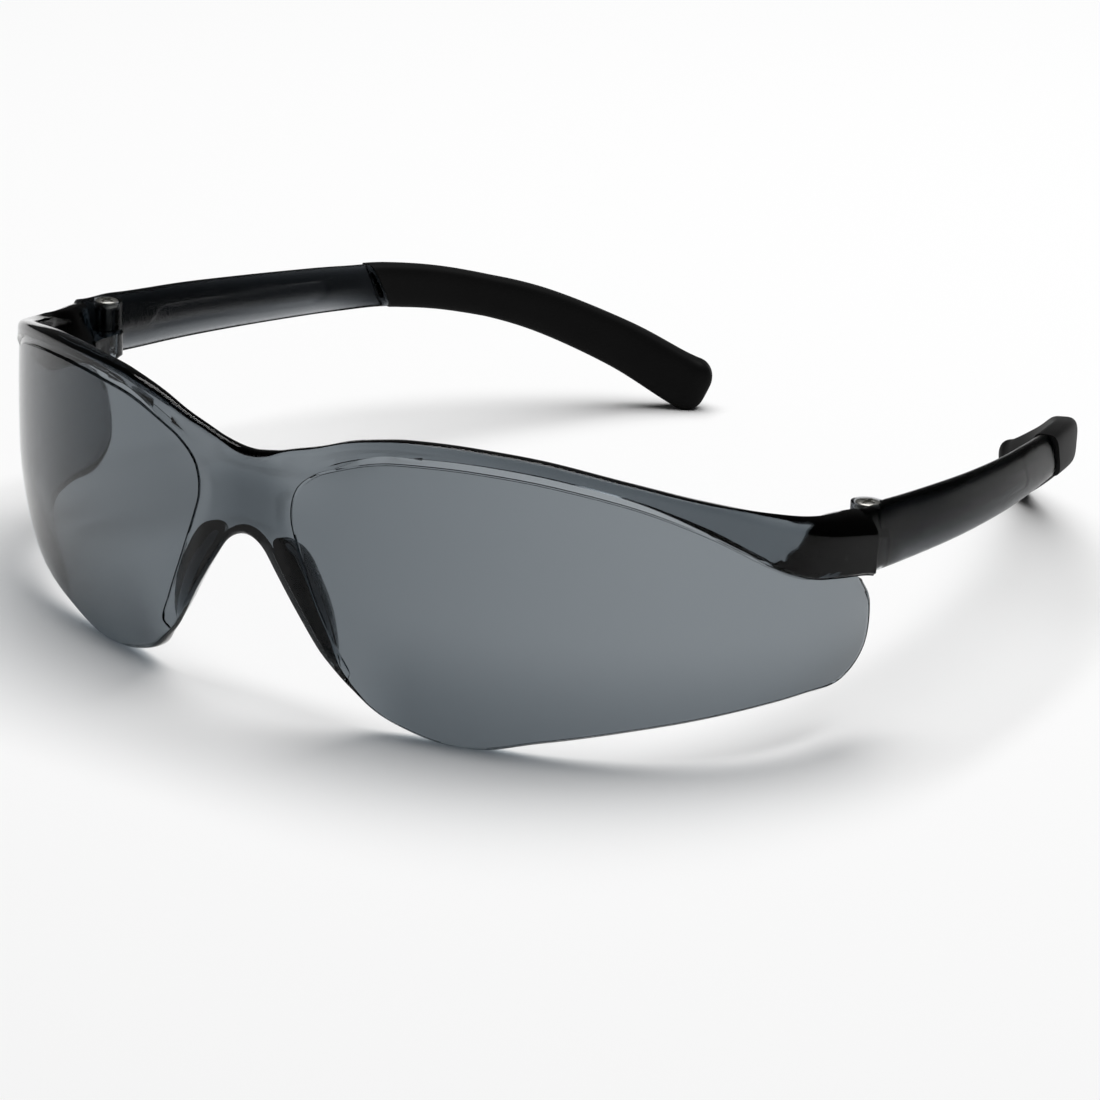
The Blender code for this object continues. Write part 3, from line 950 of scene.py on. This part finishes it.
    def plain_front(self, brow: np.ndarray, wall: np.ndarray) -> tuple[np.ndarray, list[Corner]]:
        """Shape the brow's front away from the end block: a channel above the window, then a proud bar.

        Args:
            brow: Angles and heights of the brow line.
            wall: The brow's wall in each column.

        Returns:
            The depth at the brow line, and the corners above it.
        """
        angle = brow[:, 0]
        share = wall / self.brow_wall
        fade = ramp(angle, *self.channel_start)
        at_line = -self.proud_margin(angle, brow[:, 1])
        floor = at_line + self.channel_depth * fade * (1 - ramp(angle, *self.channel_end))
        step = self.channel_step
        wide = np.maximum(self.channel_width * fade, 2 * step)
        proud = -self.brow_proud * fade
        corners = [(0.0, step, floor), (0.0, wide, floor), (0.0, wide + step, proud)]
        corners.append((self.crest_share, 0.0, proud))
        for fall, depth in self.front_rounding:
            corners.append((1.0, -fall * np.sqrt(share), proud + depth * share))
        return at_line, corners

    def plain_back(
        self, brow: np.ndarray, top: np.ndarray, wall: np.ndarray
    ) -> tuple[np.ndarray, list[Corner]]:
        """Shape the brow's back away from the end block.

        A low ledge stands behind the channel's upper edge. It fades into a plain slope at the bridge.

        Args:
            brow: Angles and heights of the brow line.
            top: Angles and heights of the top edge.
            wall: The brow's wall in each column.

        Returns:
            The depth at the brow line, and the corners above it.
        """
        angle = brow[:, 0]
        share = wall / self.brow_wall
        at_line = self.back_depth(angle, brow[:, 1])
        tall = top[:, 1] - brow[:, 1]
        turned, begun = ramp(angle, *self.ledge_angles), ramp(angle, *self.ledge_start)
        foot, step = mix(*self.ledge_rises, turned), mix(*self.ledge_steps, turned)
        ledge = [(foot, 0.0), (foot + step, 1.0), *((part * tall, 1.0) for part in self.ledge_shares)]
        corners = []
        for (rise, part), (low_rise, low_part) in zip(ledge, self.bridge_slope):
            depth = mix(at_line, wall, mix(low_part, part, begun))
            corners.append((0.0, mix(low_rise * tall, rise, begun), depth))
        for fall, depth in self.back_rounding:
            corners.append((1.0, -fall * np.sqrt(share), wall - depth * share))
        return at_line, corners

    def upper_corners(self, places: np.ndarray, face: Face) -> np.ndarray:
        """Give the corners of each column from the brow line to the top.

        Args:
            places: The columns' places along the edges.
            face: The face that they belong to.

        Returns:
            Column, corner, and angle, height, toe share and depth.
        """
        brow, top = self.edges(self.brow_line, places), self.edges(self.top_edge, places)
        angle = brow[:, 0]
        start, full, end = self.block_angles
        block = ramp(angle, start, full)
        grown = np.clip((angle - full) / (angle[-1] - full), 0.0, 1.0)
        tail = ramp(places, places[-1] - self.seam_columns, places[-1])
        block_turn = angle + (end - angle[-1]) * tail
        thin, thick = self.bridge_top_angles
        wall = mix(self.bridge_top_wall, self.brow_wall, np.clip((top[:, 0] - thin) / (thick - thin), 0, 1))
        back = face is Face.BACK
        at_line, plain = self.plain_back(brow, top, wall) if back else self.plain_front(brow, wall)
        corners = [np.stack([angle, brow[:, 1], np.ones_like(angle), at_line], axis=1)]
        sections = self.block_back if back else self.block_front
        for index, ((edge, rise, depth), near, far) in enumerate(zip(plain, *sections)):
            lean = self.solid_lean * min(index, self.solid_rows)
            solid = ramp(angle - lean, *self.solid_angles) if back else block
            turn, height = mix(angle, top[:, 0], edge), mix(brow[:, 1], top[:, 1], edge) + rise
            block_edge, block_rise, block_depth = (mix(*ends, grown) for ends in zip(near, far))
            block_height = mix(brow[:, 1], top[:, 1], block_edge) + block_rise
            values = [mix(turn, block_turn, block), mix(height, block_height, block), 1.0 - block]
            corners.append(np.stack([*values, mix(depth, block_depth, solid)], axis=1))
        return np.stack(corners, axis=1)

    def profile(self, corners: np.ndarray) -> np.ndarray:
        """Run rows through the corners above the brow line: straight below, rounded towards the top.

        Args:
            corners: Column, corner, and angle, height, toe share and depth.

        Returns:
            Column, row, and the same four values.
        """
        rows = []
        last = corners.shape[1] - 1
        for place in self.brow_rows:
            index = min(int(place), last - 1)
            start, end = corners[:, index], corners[:, index + 1]
            if index < self.rounded_from:
                rows.append(mix(start, end, place - index))
                continue
            before = corners[:, index - 1] if index > self.rounded_from else 2 * start - end
            after = corners[:, min(index + 2, last)]
            rows.append(cubic(start, end, (end - before) / 2, (after - start) / 2, place - index))
        return np.stack(rows, axis=1)

    def half(self, face: Face) -> np.ndarray:
        """Give the points of the left half of one face.

        Args:
            face: The face.

        Returns:
            The points, as column, row and X, Y, Z.
        """
        places = self.places()
        low, brow = self.edges(self.lower_edge, places), self.edges(self.brow_line, places)
        length = np.hypot((brow[:, 0] - low[:, 0]) * self.mm_per_degree, brow[:, 1] - low[:, 1])[:, None]
        first, last = self.edge_rows[-1], self.line_rows[0]
        steps = np.linspace(0, 1, self.window_rows + 2)[1:-1]
        along = np.concatenate(
            [
                np.tile(self.edge_rows, (len(places), 1)),
                first + (length - first - last) * steps,
                length - np.array(self.line_rows),
            ],
            axis=1,
        )
        share = along / length
        angle, height = mix(low[:, :1], brow[:, :1], share), mix(low[:, 1:], brow[:, 1:], share)
        rounding = np.zeros(along.shape[1])
        if face is Face.BACK:
            # The back's edge is set off from the front's beside the nose
            flare = self.inset(places) * self.nose_flare * (1 - ramp(places, *self.flare_end))[:, None]
            angle = angle + flare[:, :1] * (1 - share) ** 2
            height = height + flare[:, 1:] * (1 - share) ** 2
            rounding[: len(self.edge_back)] = self.edge_back
            depth = self.back_depth(angle, height) - rounding
        else:
            rounding[: len(self.edge_front)] = self.edge_front
            depth = rounding - self.proud_margin(angle, height)
        window = np.stack([angle, height, np.ones_like(angle), depth], axis=-1)
        rows = np.concatenate([window, self.profile(self.upper_corners(places, face))], axis=1)
        points = self.sunk(rows[..., 0], rows[..., 1], rows[..., 2], rows[..., 3])
        upper = along.shape[1] + 1
        # The block ends flat at the seam, so its last columns move to it together
        pull = np.clip((places - places[-1] + self.seam_columns) / self.seam_columns, 0.0, 1.0) ** 2
        points[:, upper:, 1] += pull[:, None] * (self.hinge.seam_y - points[-1, upper:, 1])
        points[..., 2] = np.maximum(points[..., 2], 0.0)
        points[0, :, 0] = 0.0
        return points

    def nose_pad(self, side: Side) -> bpy.types.Object:
        """Make one rounded wedge of a nose pad, its root inside the wall.

        Args:
            side: The side of the wearer.

        Returns:
            The wedge.
        """
        rings = []
        near, far = 1 - self.pad_corner_share, self.pad_corner_share
        for station in np.linspace(0, len(self.pad_stations) - 1, self.pad_rings):
            place, share, middle, lift = spline(self.pad_stations, station)
            angle, height = self.edge(self.lower_edge, place)
            base, sideways, inward = self.directions(angle, height + lift)
            pivot = np.array([middle, 0.0])
            outline = pivot + (np.array(self.pad_outline) - pivot) * share
            for _ in range(self.pad_roundings):
                after = np.roll(outline, -1, axis=0)
                outline = np.stack([outline * near + after * far, outline * far + after * near], axis=1)
                outline = outline.reshape(-1, 2)
            across, back = outline[:, :1] + self.pad_inset, outline[:, 1:] + self.pad_root
            rings.append((base + across * sideways + back * inward) * side.mirror)
        return add_tube("nose_pad", np.array(rings))

    def hinge_lug(self, side: Side) -> bpy.types.Object:
        """Make the hinge lug that stands out of an end block.

        Args:
            side: The side of the wearer.

        Returns:
            The lug.
        """
        hinge = self.hinge
        rounded = hinge.lug_rounding
        lug = add_turned(
            "hinge_lug",
            hinge.centre(side),
            (
                (hinge.lug_radius - rounded, hinge.lug_skirt),
                (hinge.lug_radius, hinge.lug_skirt + rounded),
                (hinge.lug_radius, hinge.lug_top - rounded),
                (hinge.lug_radius - rounded, hinge.lug_top),
            ),
        )
        inner = hinge.x - hinge.lug_radius + hinge.lug_arm_inset
        arm = hinge.box(
            "lug_arm",
            side,
            (inner, hinge.seam_y - hinge.lug_root, hinge.lug_skirt),
            (hinge.x + hinge.lug_arm_outer, hinge.y, hinge.lug_top),
        )
        apply_boolean(lug, arm, Operation.JOIN)
        low, high = hinge.lug_skirt - OVERCUT, hinge.lug_top + OVERCUT
        apply_boolean(lug, hinge.post("lug_bore", side, hinge.bore_radius, low, high), Operation.CUT)
        apply_bevel(lug, hinge.lug_bevel)
        return lug

    def window_groove(self, side: Side) -> bpy.types.Object:
        """Make the cutter for the fine groove along the nose side and top of a window.

        Args:
            side: The side of the wearer.

        Returns:
            The cutter.
        """
        last = len(self.window_side) - 1
        beside = [spline(self.window_side, place) for place in np.linspace(0, last, self.side_columns * last)]
        above = self.edges(self.brow_line, np.linspace(*self.window_top_places, self.groove_columns)[1:])
        line = np.concatenate([beside, above])
        turn = [share * len(beside) for share in self.window_groove_turn]
        return self.groove(side, line, mix(*self.window_groove_radii, ramp(np.arange(len(line)), *turn)))

    def edge_groove(self, side: Side) -> bpy.types.Object:
        """Make the cutter for the fine groove inside the lower and rear edge of a window.

        Args:
            side: The side of the wearer.

        Returns:
            The cutter.
        """
        places = np.linspace(*self.edge_groove_places, self.groove_columns)
        line = self.edges(self.lower_edge, places) + self.inset(places) * self.edge_groove_inset
        return self.groove(side, line, mix(*self.edge_groove_radii, ramp(places, *self.edge_groove_turn)))

    def groove(self, side: Side, line: np.ndarray, radii: np.ndarray) -> bpy.types.Object:
        """Make the cutter for a fine groove in the front.

        Args:
            side: The side of the wearer.
            line: The groove's angles and heights.
            radii: Its radius at each of them.

        Returns:
            The cutter.
        """
        frames = [self.directions(*point) for point in line]
        points = np.array([frame[0] for frame in frames])
        along = np.gradient(points, axis=0)
        turns = np.arange(self.groove_sides) * 2 * math.pi / self.groove_sides
        rings = []
        for point, way, (_, _, inward), radius in zip(points, along, frames, radii):
            beside = np.cross(way / np.linalg.norm(way), inward)
            beside /= np.linalg.norm(beside)
            ring = point + radius * (np.outer(np.cos(turns), inward) + np.outer(np.sin(turns), beside))
            rings.append(ring * side.mirror)
        return add_tube("groove", np.array(rings))

    def build(self, material: bpy.types.Material) -> None:
        """Make the shield from a grid, whose extruded copy becomes the back.

        Args:
            material: Its material.
        """
        halves = [self.half(face) for face in Face]
        front, back = (np.concatenate([half[:0:-1] * Side.RIGHT.mirror, half]) for half in halves)
        across, along = front.shape[0] - 1, front.shape[1] - 1
        shield = add_grid("smoke_shield", across, along)
        with edit_mesh(shield):
            bpy.ops.mesh.extrude_region_move()
        columns, rows = grid_cells(shield, across, along)
        extruded = np.empty(len(columns), bool)
        shield.data.vertices.foreach_get("select", extruded)
        place_points(shield, np.where(extruded[:, None], back[columns, rows], front[columns, rows]))
        with edit_mesh(shield):
            bpy.ops.mesh.normals_make_consistent(inside=False)
        for side in Side:
            apply_boolean(shield, self.nose_pad(side), Operation.JOIN)
            apply_boolean(shield, self.hinge_lug(side), Operation.JOIN)
            apply_boolean(shield, self.window_groove(side), Operation.CUT)
            apply_boolean(shield, self.edge_groove(side), Operation.CUT)
        finish_piece(shield, material, "front")
        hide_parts("lens_shield")


@dataclass
class Temple:
    """A folding side arm of smoke polycarbonate with its soft rubber tip.

    The centre line is given from the hinge screw: across, back, and up from the table. Places on it are
    counted in its points.
    """

    side: Side
    hinge: Hinge
    line: Points = (
        (2.3, -5.1, 30.45), (1.8, 6.5, 29.3), (1.3, 19.5, 28.35), (0.3, 30.5, 27.5), (-1.4, 42.5, 26.6),
        (-3.8, 54.5, 25.75), (-6.6, 65.5, 24.75), (-11.2, 77.5, 22.35), (-18.3, 90.3, 18.1),
        (-27.1, 102.8, 11.2), (-34.7, 109.7, 5.45), (-38.5, 112.2, 3.4),
    )
    mm_per_place: float = 11.5
    # Sections
    sides: int = 64
    squareness: float = 4.0
    outer_squareness: float = 2.4
    inner_squareness: float = 3.0
    top_lean: float = 0.3
    # The arm
    heights: Pair = (10.1, 7.2)
    walls: Pair = (4.2, 3.4)
    shoulder: float = 1.5
    shoulder_end: float = 0.3
    front_drop: float = 0.5
    front_places: Pair = (0.15, 0.7)
    end: float = 5.72
    slant: float = 5.0
    slant_start: float = 0.8
    steps: int = 120
    thinning: float = 0.6
    thinning_places: Pair = (0.5, 1.1)
    web_shares: Pair = (0.4, 0.86)
    panel_places: Pair = (1.42, 4.7)
    panel_half_height: float = 1.9
    panel_depth: float = 0.35
    panel_edge: float = 0.1
    no_panel: float = -1.0
    # The tongue inside the tip
    tongue_height: float = 4.2
    tongue_wall: float = 1.9
    tongue_end: float = 8.6
    tongue_steps: int = 20
    # The tip
    tip_heights: tuple[float, float, float] = (7.3, 6.8, 9.2)
    tip_walls: Pair = (4.0, 4.8)
    tip_waist: float = 0.36
    tip_slant_end: float = 0.33
    tip_end: float = 10.45
    tip_steps: int = 70
    tip_round: float = 3.2
    tip_round_steps: int = 10
    tip_round_rest: float = 0.3
    joint_gap: float = 0.06

    @property
    def body(self) -> str:
        """The CAD body that the arm and its tip move with."""
        return f"{self.side.word}_arm"

    def axes(self, place: float) -> tuple[np.ndarray, np.ndarray, np.ndarray, np.ndarray]:
        """Find how the centre line lies at a place.

        Args:
            place: The place on the line.

        Returns:
            The centre, and the along, sideways and upward directions.
        """
        last = len(self.line) - 1
        after, before = min(place + TANGENT_STEP, last), max(place - TANGENT_STEP, 0.0)
        along = spline(self.line, after) - spline(self.line, before)
        along /= np.linalg.norm(along)
        sideways = np.cross(along, (0.0, 0.0, 1.0))
        sideways /= np.linalg.norm(sideways)
        return spline(self.line, place), along, sideways, np.cross(sideways, along)

    def ring(
        self,
        place: float,
        height: float,
        wall: float,
        slant: float = 0.0,
        shift: float = 0.0,
        shoulder: float = 0.0,
        panel: float = 0.0,
        thinned: float = 0.0,
        rounded: float = 0.0,
    ) -> np.ndarray:
        """Make one rounded upright section.

        Args:
            place: Where it stands on the line.
            height: Its height.
            wall: Its thickness.
            slant: How far its top leans forward.
            shift: How far it moves back.
            shoulder: How far its outer top edge is rounded off.
            panel: Half the height of the sunk panel on its inner face.
            thinned: How much of the thinning towards the bottom it has, from 0 to 1.
            rounded: How much of the arm's rounder faces it has, from 0 to 1.

        Returns:
            The section's points.
        """
        centre, along, sideways, upward = self.axes(place)
        turn = 2 * math.pi * (np.arange(self.sides) + 0.5) / self.sides
        # The arm's outer face is rounder than its inner one
        inner = np.cos(turn) < 0
        outer_power = mix(self.squareness, self.outer_squareness, rounded)
        inner_power = mix(self.squareness, self.inner_squareness, rounded)
        power = np.where(inner, inner_power, outer_power)
        reach = (np.abs(np.cos(turn)) ** power + np.abs(np.sin(turn)) ** power) ** (-1 / power)
        across = wall / 2 * reach * np.cos(turn)
        up = height / 2 * reach * np.sin(turn)
        lean_in = 1 - self.top_lean * rounded * (0.5 + up / height)
        across = np.where(inner, across, across * lean_in)
        # A thick rail runs along the top, and the inner face steps out to a thin web below it
        level = np.minimum(np.abs(2 * up / height), 1.0)
        outer = wall / 2 * (1 - level**outer_power) ** (1 / outer_power) * lean_in
        web = self.thinning * thinned * ramp(place, *self.thinning_places)
        web = web * ramp(0.5 - up / height, *self.web_shares)
        across = np.where(inner, mix(across, outer, web), across)
        # The front's top lies a little lower, and its outer edge is rounded off
        drop = self.front_drop * rounded * (1 - float(ramp(place, *self.front_places)))
        up = np.where(up > 0, up * (1 - 2 * drop / height), up)
        lean = shift - slant * up / self.heights[1]
        outer_top = (across > 0) & (up > 0)
        up = np.where(outer_top, up - shoulder * (2 * across / wall) ** 2 * (2 * up / height), up)
        sunk = self.panel_depth * ramp(panel - np.abs(up), -self.panel_edge, self.panel_edge)
        across = np.where(inner, across + sunk, across)
        points = centre + np.outer(across, sideways) + np.outer(up, upward) + np.outer(lean, along)
        points += np.array([self.hinge.x, self.hinge.y, 0.0])
        return points * self.side.mirror

    def panel(self, place: float) -> float:
        """Give the size of the round-ended sunk panel.

        Args:
            place: The place on the line.

        Returns:
            Half the panel's height there, below zero outside it.
        """
        first, last = self.panel_places
        left = min(place - first, last - place) * self.mm_per_place
        if left <= 0:
            return self.no_panel
        inset = max(0.0, self.panel_half_height - left)
        return math.sqrt(max(0.0, self.panel_half_height**2 - inset**2))

    def body_rings(self) -> list[np.ndarray]:
        """Make the sections from the front to the slanted joint line.

        Returns:
            The sections.
        """
        rings = []
        for step in range(self.steps + 1):
            share = step / self.steps
            place = self.end * share
            lean = max(0.0, (share - self.slant_start) / (1 - self.slant_start))
            ring = self.ring(
                place,
                mix(*self.heights, share),
                mix(*self.walls, share),
                slant=self.slant * lean,
                shoulder=self.shoulder * max(0.0, 1 - share / self.shoulder_end),
                panel=self.panel(place),
                thinned=1 - lean * lean,
                rounded=1.0,
            )
            rings.append(ring)
        return rings

    def tongue_rings(self, extra: float, shift: float) -> list[np.ndarray]:
        """Make the sections of the tongue inside the tip.

        Args:
            extra: The clearance that it is grown by.
            shift: How far its first section moves back.

        Returns:
            The sections.
        """
        height, wall = self.tongue_height + 2 * extra, self.tongue_wall + 2 * extra
        rings = []
        for step in range(self.tongue_steps + 1):
            share = step / self.tongue_steps
            place = mix(self.end, self.tongue_end, share)
            moved = shift if step == 0 else extra * share
            rings.append(self.ring(place, height, wall, slant=self.slant * (1 - share), shift=moved))
        return rings

    def tip_rings(self) -> list[np.ndarray]:
        """Make the outer sections of the rubber tip from the joint line to its rounded end.

        Returns:
            The sections.
        """
        front, waist_height, back = self.tip_heights
        rings = []
        for step in range(self.tip_steps + 1):
            share = step / self.tip_steps
            waist = mix(front, waist_height, min(1.0, share / self.tip_waist))
            swell = max(0.0, (share - self.tip_waist) / (1 - self.tip_waist))
            ring = self.ring(
                mix(self.end, self.tip_end, share),
                mix(waist, back, swell),
                mix(*self.tip_walls, share),
                slant=self.slant * max(0.0, 1 - share / self.tip_slant_end),
                shift=self.joint_gap if step == 0 else 0.0,
            )
            rings.append(ring)
        for step in range(1, self.tip_round_steps + 1):
            turn = math.pi / 2 * step / (self.tip_round_steps + self.tip_round_rest)
            shrink = 2 * self.tip_round * (1 - math.cos(turn))
            wall = self.tip_walls[1] * (1 - shrink / back)
            rings.append(self.ring(self.tip_end, back - shrink, wall, shift=self.tip_round * math.sin(turn)))
        return rings

    def build_arm(self, material: bpy.types.Material) -> None:
        """Make the arm with its hinge knuckle in front and its tongue behind.

        Args:
            material: Its material.
        """
        hinge, side, far = self.hinge, self.side, self.hinge.reach
        rings = np.array(self.body_rings() + self.tongue_rings(0.0, 0.0))
        arm = add_tube(f"{side.word}_smoke_arm", rings)
        crown = hinge.head_seat + hinge.head_height - hinge.rim_drop
        knuckle = hinge.post("knuckle", side, hinge.knuckle_radius, hinge.lug_top - OVERCUT, crown)
        apply_boolean(arm, knuckle, Operation.JOIN)
        # The lug turns in a pocket that is open towards the front
        low, high = hinge.lug_bottom - far, hinge.lug_top + hinge.gap
        pocket = hinge.post("pocket", side, hinge.lug_radius + hinge.gap, low, high)
        slot = hinge.box(
            "slot",
            side,
            (hinge.x - far, hinge.seam_y - OVERCUT, low),
            (hinge.x + hinge.lug_arm_outer + hinge.gap, hinge.y, high),
        )
        apply_boolean(pocket, slot, Operation.JOIN)
        apply_boolean(arm, pocket, Operation.CUT)
        top = hinge.knuckle_top
        bore = hinge.post("bore", side, hinge.bore_radius, hinge.lug_bottom, top + OVERCUT)
        apply_boolean(arm, bore, Operation.CUT)
        seat = hinge.post("head_seat", side, hinge.head_radius + hinge.seat_gap, top, top + far)
        apply_boolean(arm, seat, Operation.CUT)
        front = hinge.box(
            "front",
            side,
            (hinge.x - far, hinge.seam_y - far, low),
            (hinge.x + far, hinge.seam_y + hinge.gap, top + far),
        )
        apply_boolean(arm, front, Operation.CUT)
        finish_piece(arm, material, self.body)
        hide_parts(f"{side.word}_temple")

    def build_tip(self, material: bpy.types.Material) -> None:
        """Make the rubber tip, with the socket that takes the tongue.

        Args:
            material: Its material.
        """
        socket = self.tongue_rings(self.hinge.gap, self.joint_gap)[::-1]
        rings = np.array(socket + self.tip_rings())
        rings[..., 2] = np.maximum(rings[..., 2], 0.0)
        tip = add_tube(f"{self.side.word}_soft_tip", rings)
        finish_piece(tip, material, self.body)
        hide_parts(f"{self.side.word}_temple_tip")


@dataclass
class HingeScrew:
    """The steel screw that a temple turns on, with a cross recess in its low domed head."""

    side: Side
    hinge: Hinge
    edge: float = 0.25
    edge_share: float = 0.3
    dome: float = 0.12
    dome_shares: Pair = (0.5, 0.1)
    dome_fall: float = 0.3
    point: float = 0.5
    recess_length: float = 2.3
    recess_width: float = 0.55
    recess_depth: float = 0.55
    bevel: float = 0.06

    def build(self, material: bpy.types.Material) -> None:
        """Make the screw.

        Args:
            material: Its material.
        """
        hinge = self.hinge
        crown = hinge.head_seat + hinge.head_height
        head, shank = hinge.head_radius, hinge.shank_radius
        chamfer = self.edge * self.edge_share
        wide, narrow = self.dome_shares
        screw = add_turned(
            f"{self.side.word}_steel_screw",
            hinge.centre(self.side),
            (
                (shank - self.point, hinge.lug_bottom),
                (shank, hinge.lug_bottom + self.point),
                (shank, hinge.head_seat),
                (head, hinge.head_seat),
                (head, crown - self.edge - self.dome),
                (head - chamfer, crown - chamfer - self.dome),
                (head - self.edge, crown - self.dome),
                (head * wide, crown - self.dome * self.dome_fall),
                (head * narrow, crown),
            ),
        )
        x, y = hinge.centre(self.side)
        sizes = (self.recess_length, self.recess_width)
        for length, width in (sizes, sizes[::-1]):
            recess = add_block(
                "recess",
                (x - length / 2, y - width / 2, crown - self.recess_depth),
                (x + length / 2, y + width / 2, crown + OVERCUT),
            )
            apply_boolean(screw, recess, Operation.CUT)
        apply_bevel(screw, self.bevel)
        finish_piece(screw, material, "front")
        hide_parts(f"{self.side.word}_hinge_screw")


@dataclass
class Studio:
    """Pale floor, soft light and the camera.

    Places and sizes are in metres here, and the camera's lens and sensor in millimetres.
    """

    paint: FloorPaint = FloorPaint()
    floor_size: float = 12.0
    sky_colour: str = "#404040"
    sky_strength: float = 1.0
    lamp_place: tuple[float, float, float] = (0.0, 0.25, 1.5)
    lamp_size: float = 1.6
    lamp_power: float = 31.0
    camera_place: tuple[float, float, float] = (0.39846, -0.60498, 0.25440)
    camera_near: float = 0.01
    azimuth: float = 33.6885
    elevation: float = 19.188
    roll: float = 3.3856
    focal_length: float = 163.64
    sensor_width: float = 36.0

    def build(self) -> None:
        """Make the floor, the lamp, the surroundings and the camera."""
        self.build_floor()
        self.build_lamp()
        self.build_surroundings()
        self.build_camera()
        bpy.context.scene.view_settings.view_transform = "Standard"

    def build_floor(self) -> None:
        """Make the plain pale floor."""
        bpy.ops.object.select_all(action="DESELECT")
        bpy.ops.mesh.primitive_plane_add(size=self.floor_size)
        floor = bpy.context.object
        floor.name = "studio_floor"
        floor.data.materials.append(self.paint.material())

    def build_lamp(self) -> None:
        """Make the soft lamp, aimed at the glasses."""
        bpy.ops.object.light_add(type="AREA", location=self.lamp_place)
        lamp = bpy.context.object
        lamp.name = "overhead_soft"
        lamp.data.size = self.lamp_size
        lamp.data.energy = self.lamp_power
        lamp.rotation_mode = "QUATERNION"
        lamp.rotation_quaternion = (-Vector(self.lamp_place)).to_track_quat("-Z", "Y")

    def build_surroundings(self) -> None:
        """Make the even grey surroundings."""
        world = bpy.data.worlds.new("studio")
        bpy.context.scene.world = world
        world.use_nodes = True
        tree = world.node_tree
        tree.nodes.clear()
        sky = {"Color": linear(self.sky_colour), "Strength": self.sky_strength}
        glow = add_node(tree, "ShaderNodeBackground", sky)
        add_node(tree, "ShaderNodeOutputWorld", {"Surface": glow.outputs["Background"]})

    def build_camera(self) -> None:
        """Make the camera at the photograph's viewing angle."""
        bpy.ops.object.camera_add(location=self.camera_place)
        camera = bpy.context.object
        camera.data.sensor_width = self.sensor_width
        camera.data.lens = self.focal_length
        camera.data.clip_start = self.camera_near
        turn, lift, roll = (math.radians(value) for value in (self.azimuth, self.elevation, self.roll))
        back = Vector((math.sin(turn) * math.cos(lift), -math.cos(turn) * math.cos(lift), math.sin(lift)))
        level = Vector((0.0, 0.0, 1.0)).cross(back).normalized()
        upright = back.cross(level)
        right = level * math.cos(roll) + upright * math.sin(roll)
        up = back.cross(right)
        camera.rotation_mode = "QUATERNION"
        camera.rotation_quaternion = Matrix((right, up, back)).transposed().to_quaternion()
        bpy.context.scene.camera = camera


@dataclass
class SafetyGlasses:
    """The whole object: shield, two temples with tips, and two screws."""

    hinge: Hinge = Hinge()
    smoke: SmokePolycarbonate = SmokePolycarbonate()
    arm_smoke: SmokePolycarbonate = MattSmokePolycarbonate()
    rubber: BlackRubber = BlackRubber()
    steel: PlatedSteel = PlatedSteel()

    def build(self) -> None:
        """Make every piece."""
        finishes = (self.smoke, self.arm_smoke, self.rubber, self.steel)
        smoke, arm_smoke, rubber, steel = (finish.material() for finish in finishes)
        LensShield(self.hinge).build(smoke)
        for side in Side:
            temple = Temple(side, self.hinge)
            temple.build_arm(arm_smoke)
            temple.build_tip(rubber)
            HingeScrew(side, self.hinge).build(steel)


def main() -> None:
    """Load the frame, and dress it."""
    logging.basicConfig(level=logging.INFO, format="%(message)s")
    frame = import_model()
    SafetyGlasses().build()
    Studio().build()


if __name__ == "__main__":
    main()
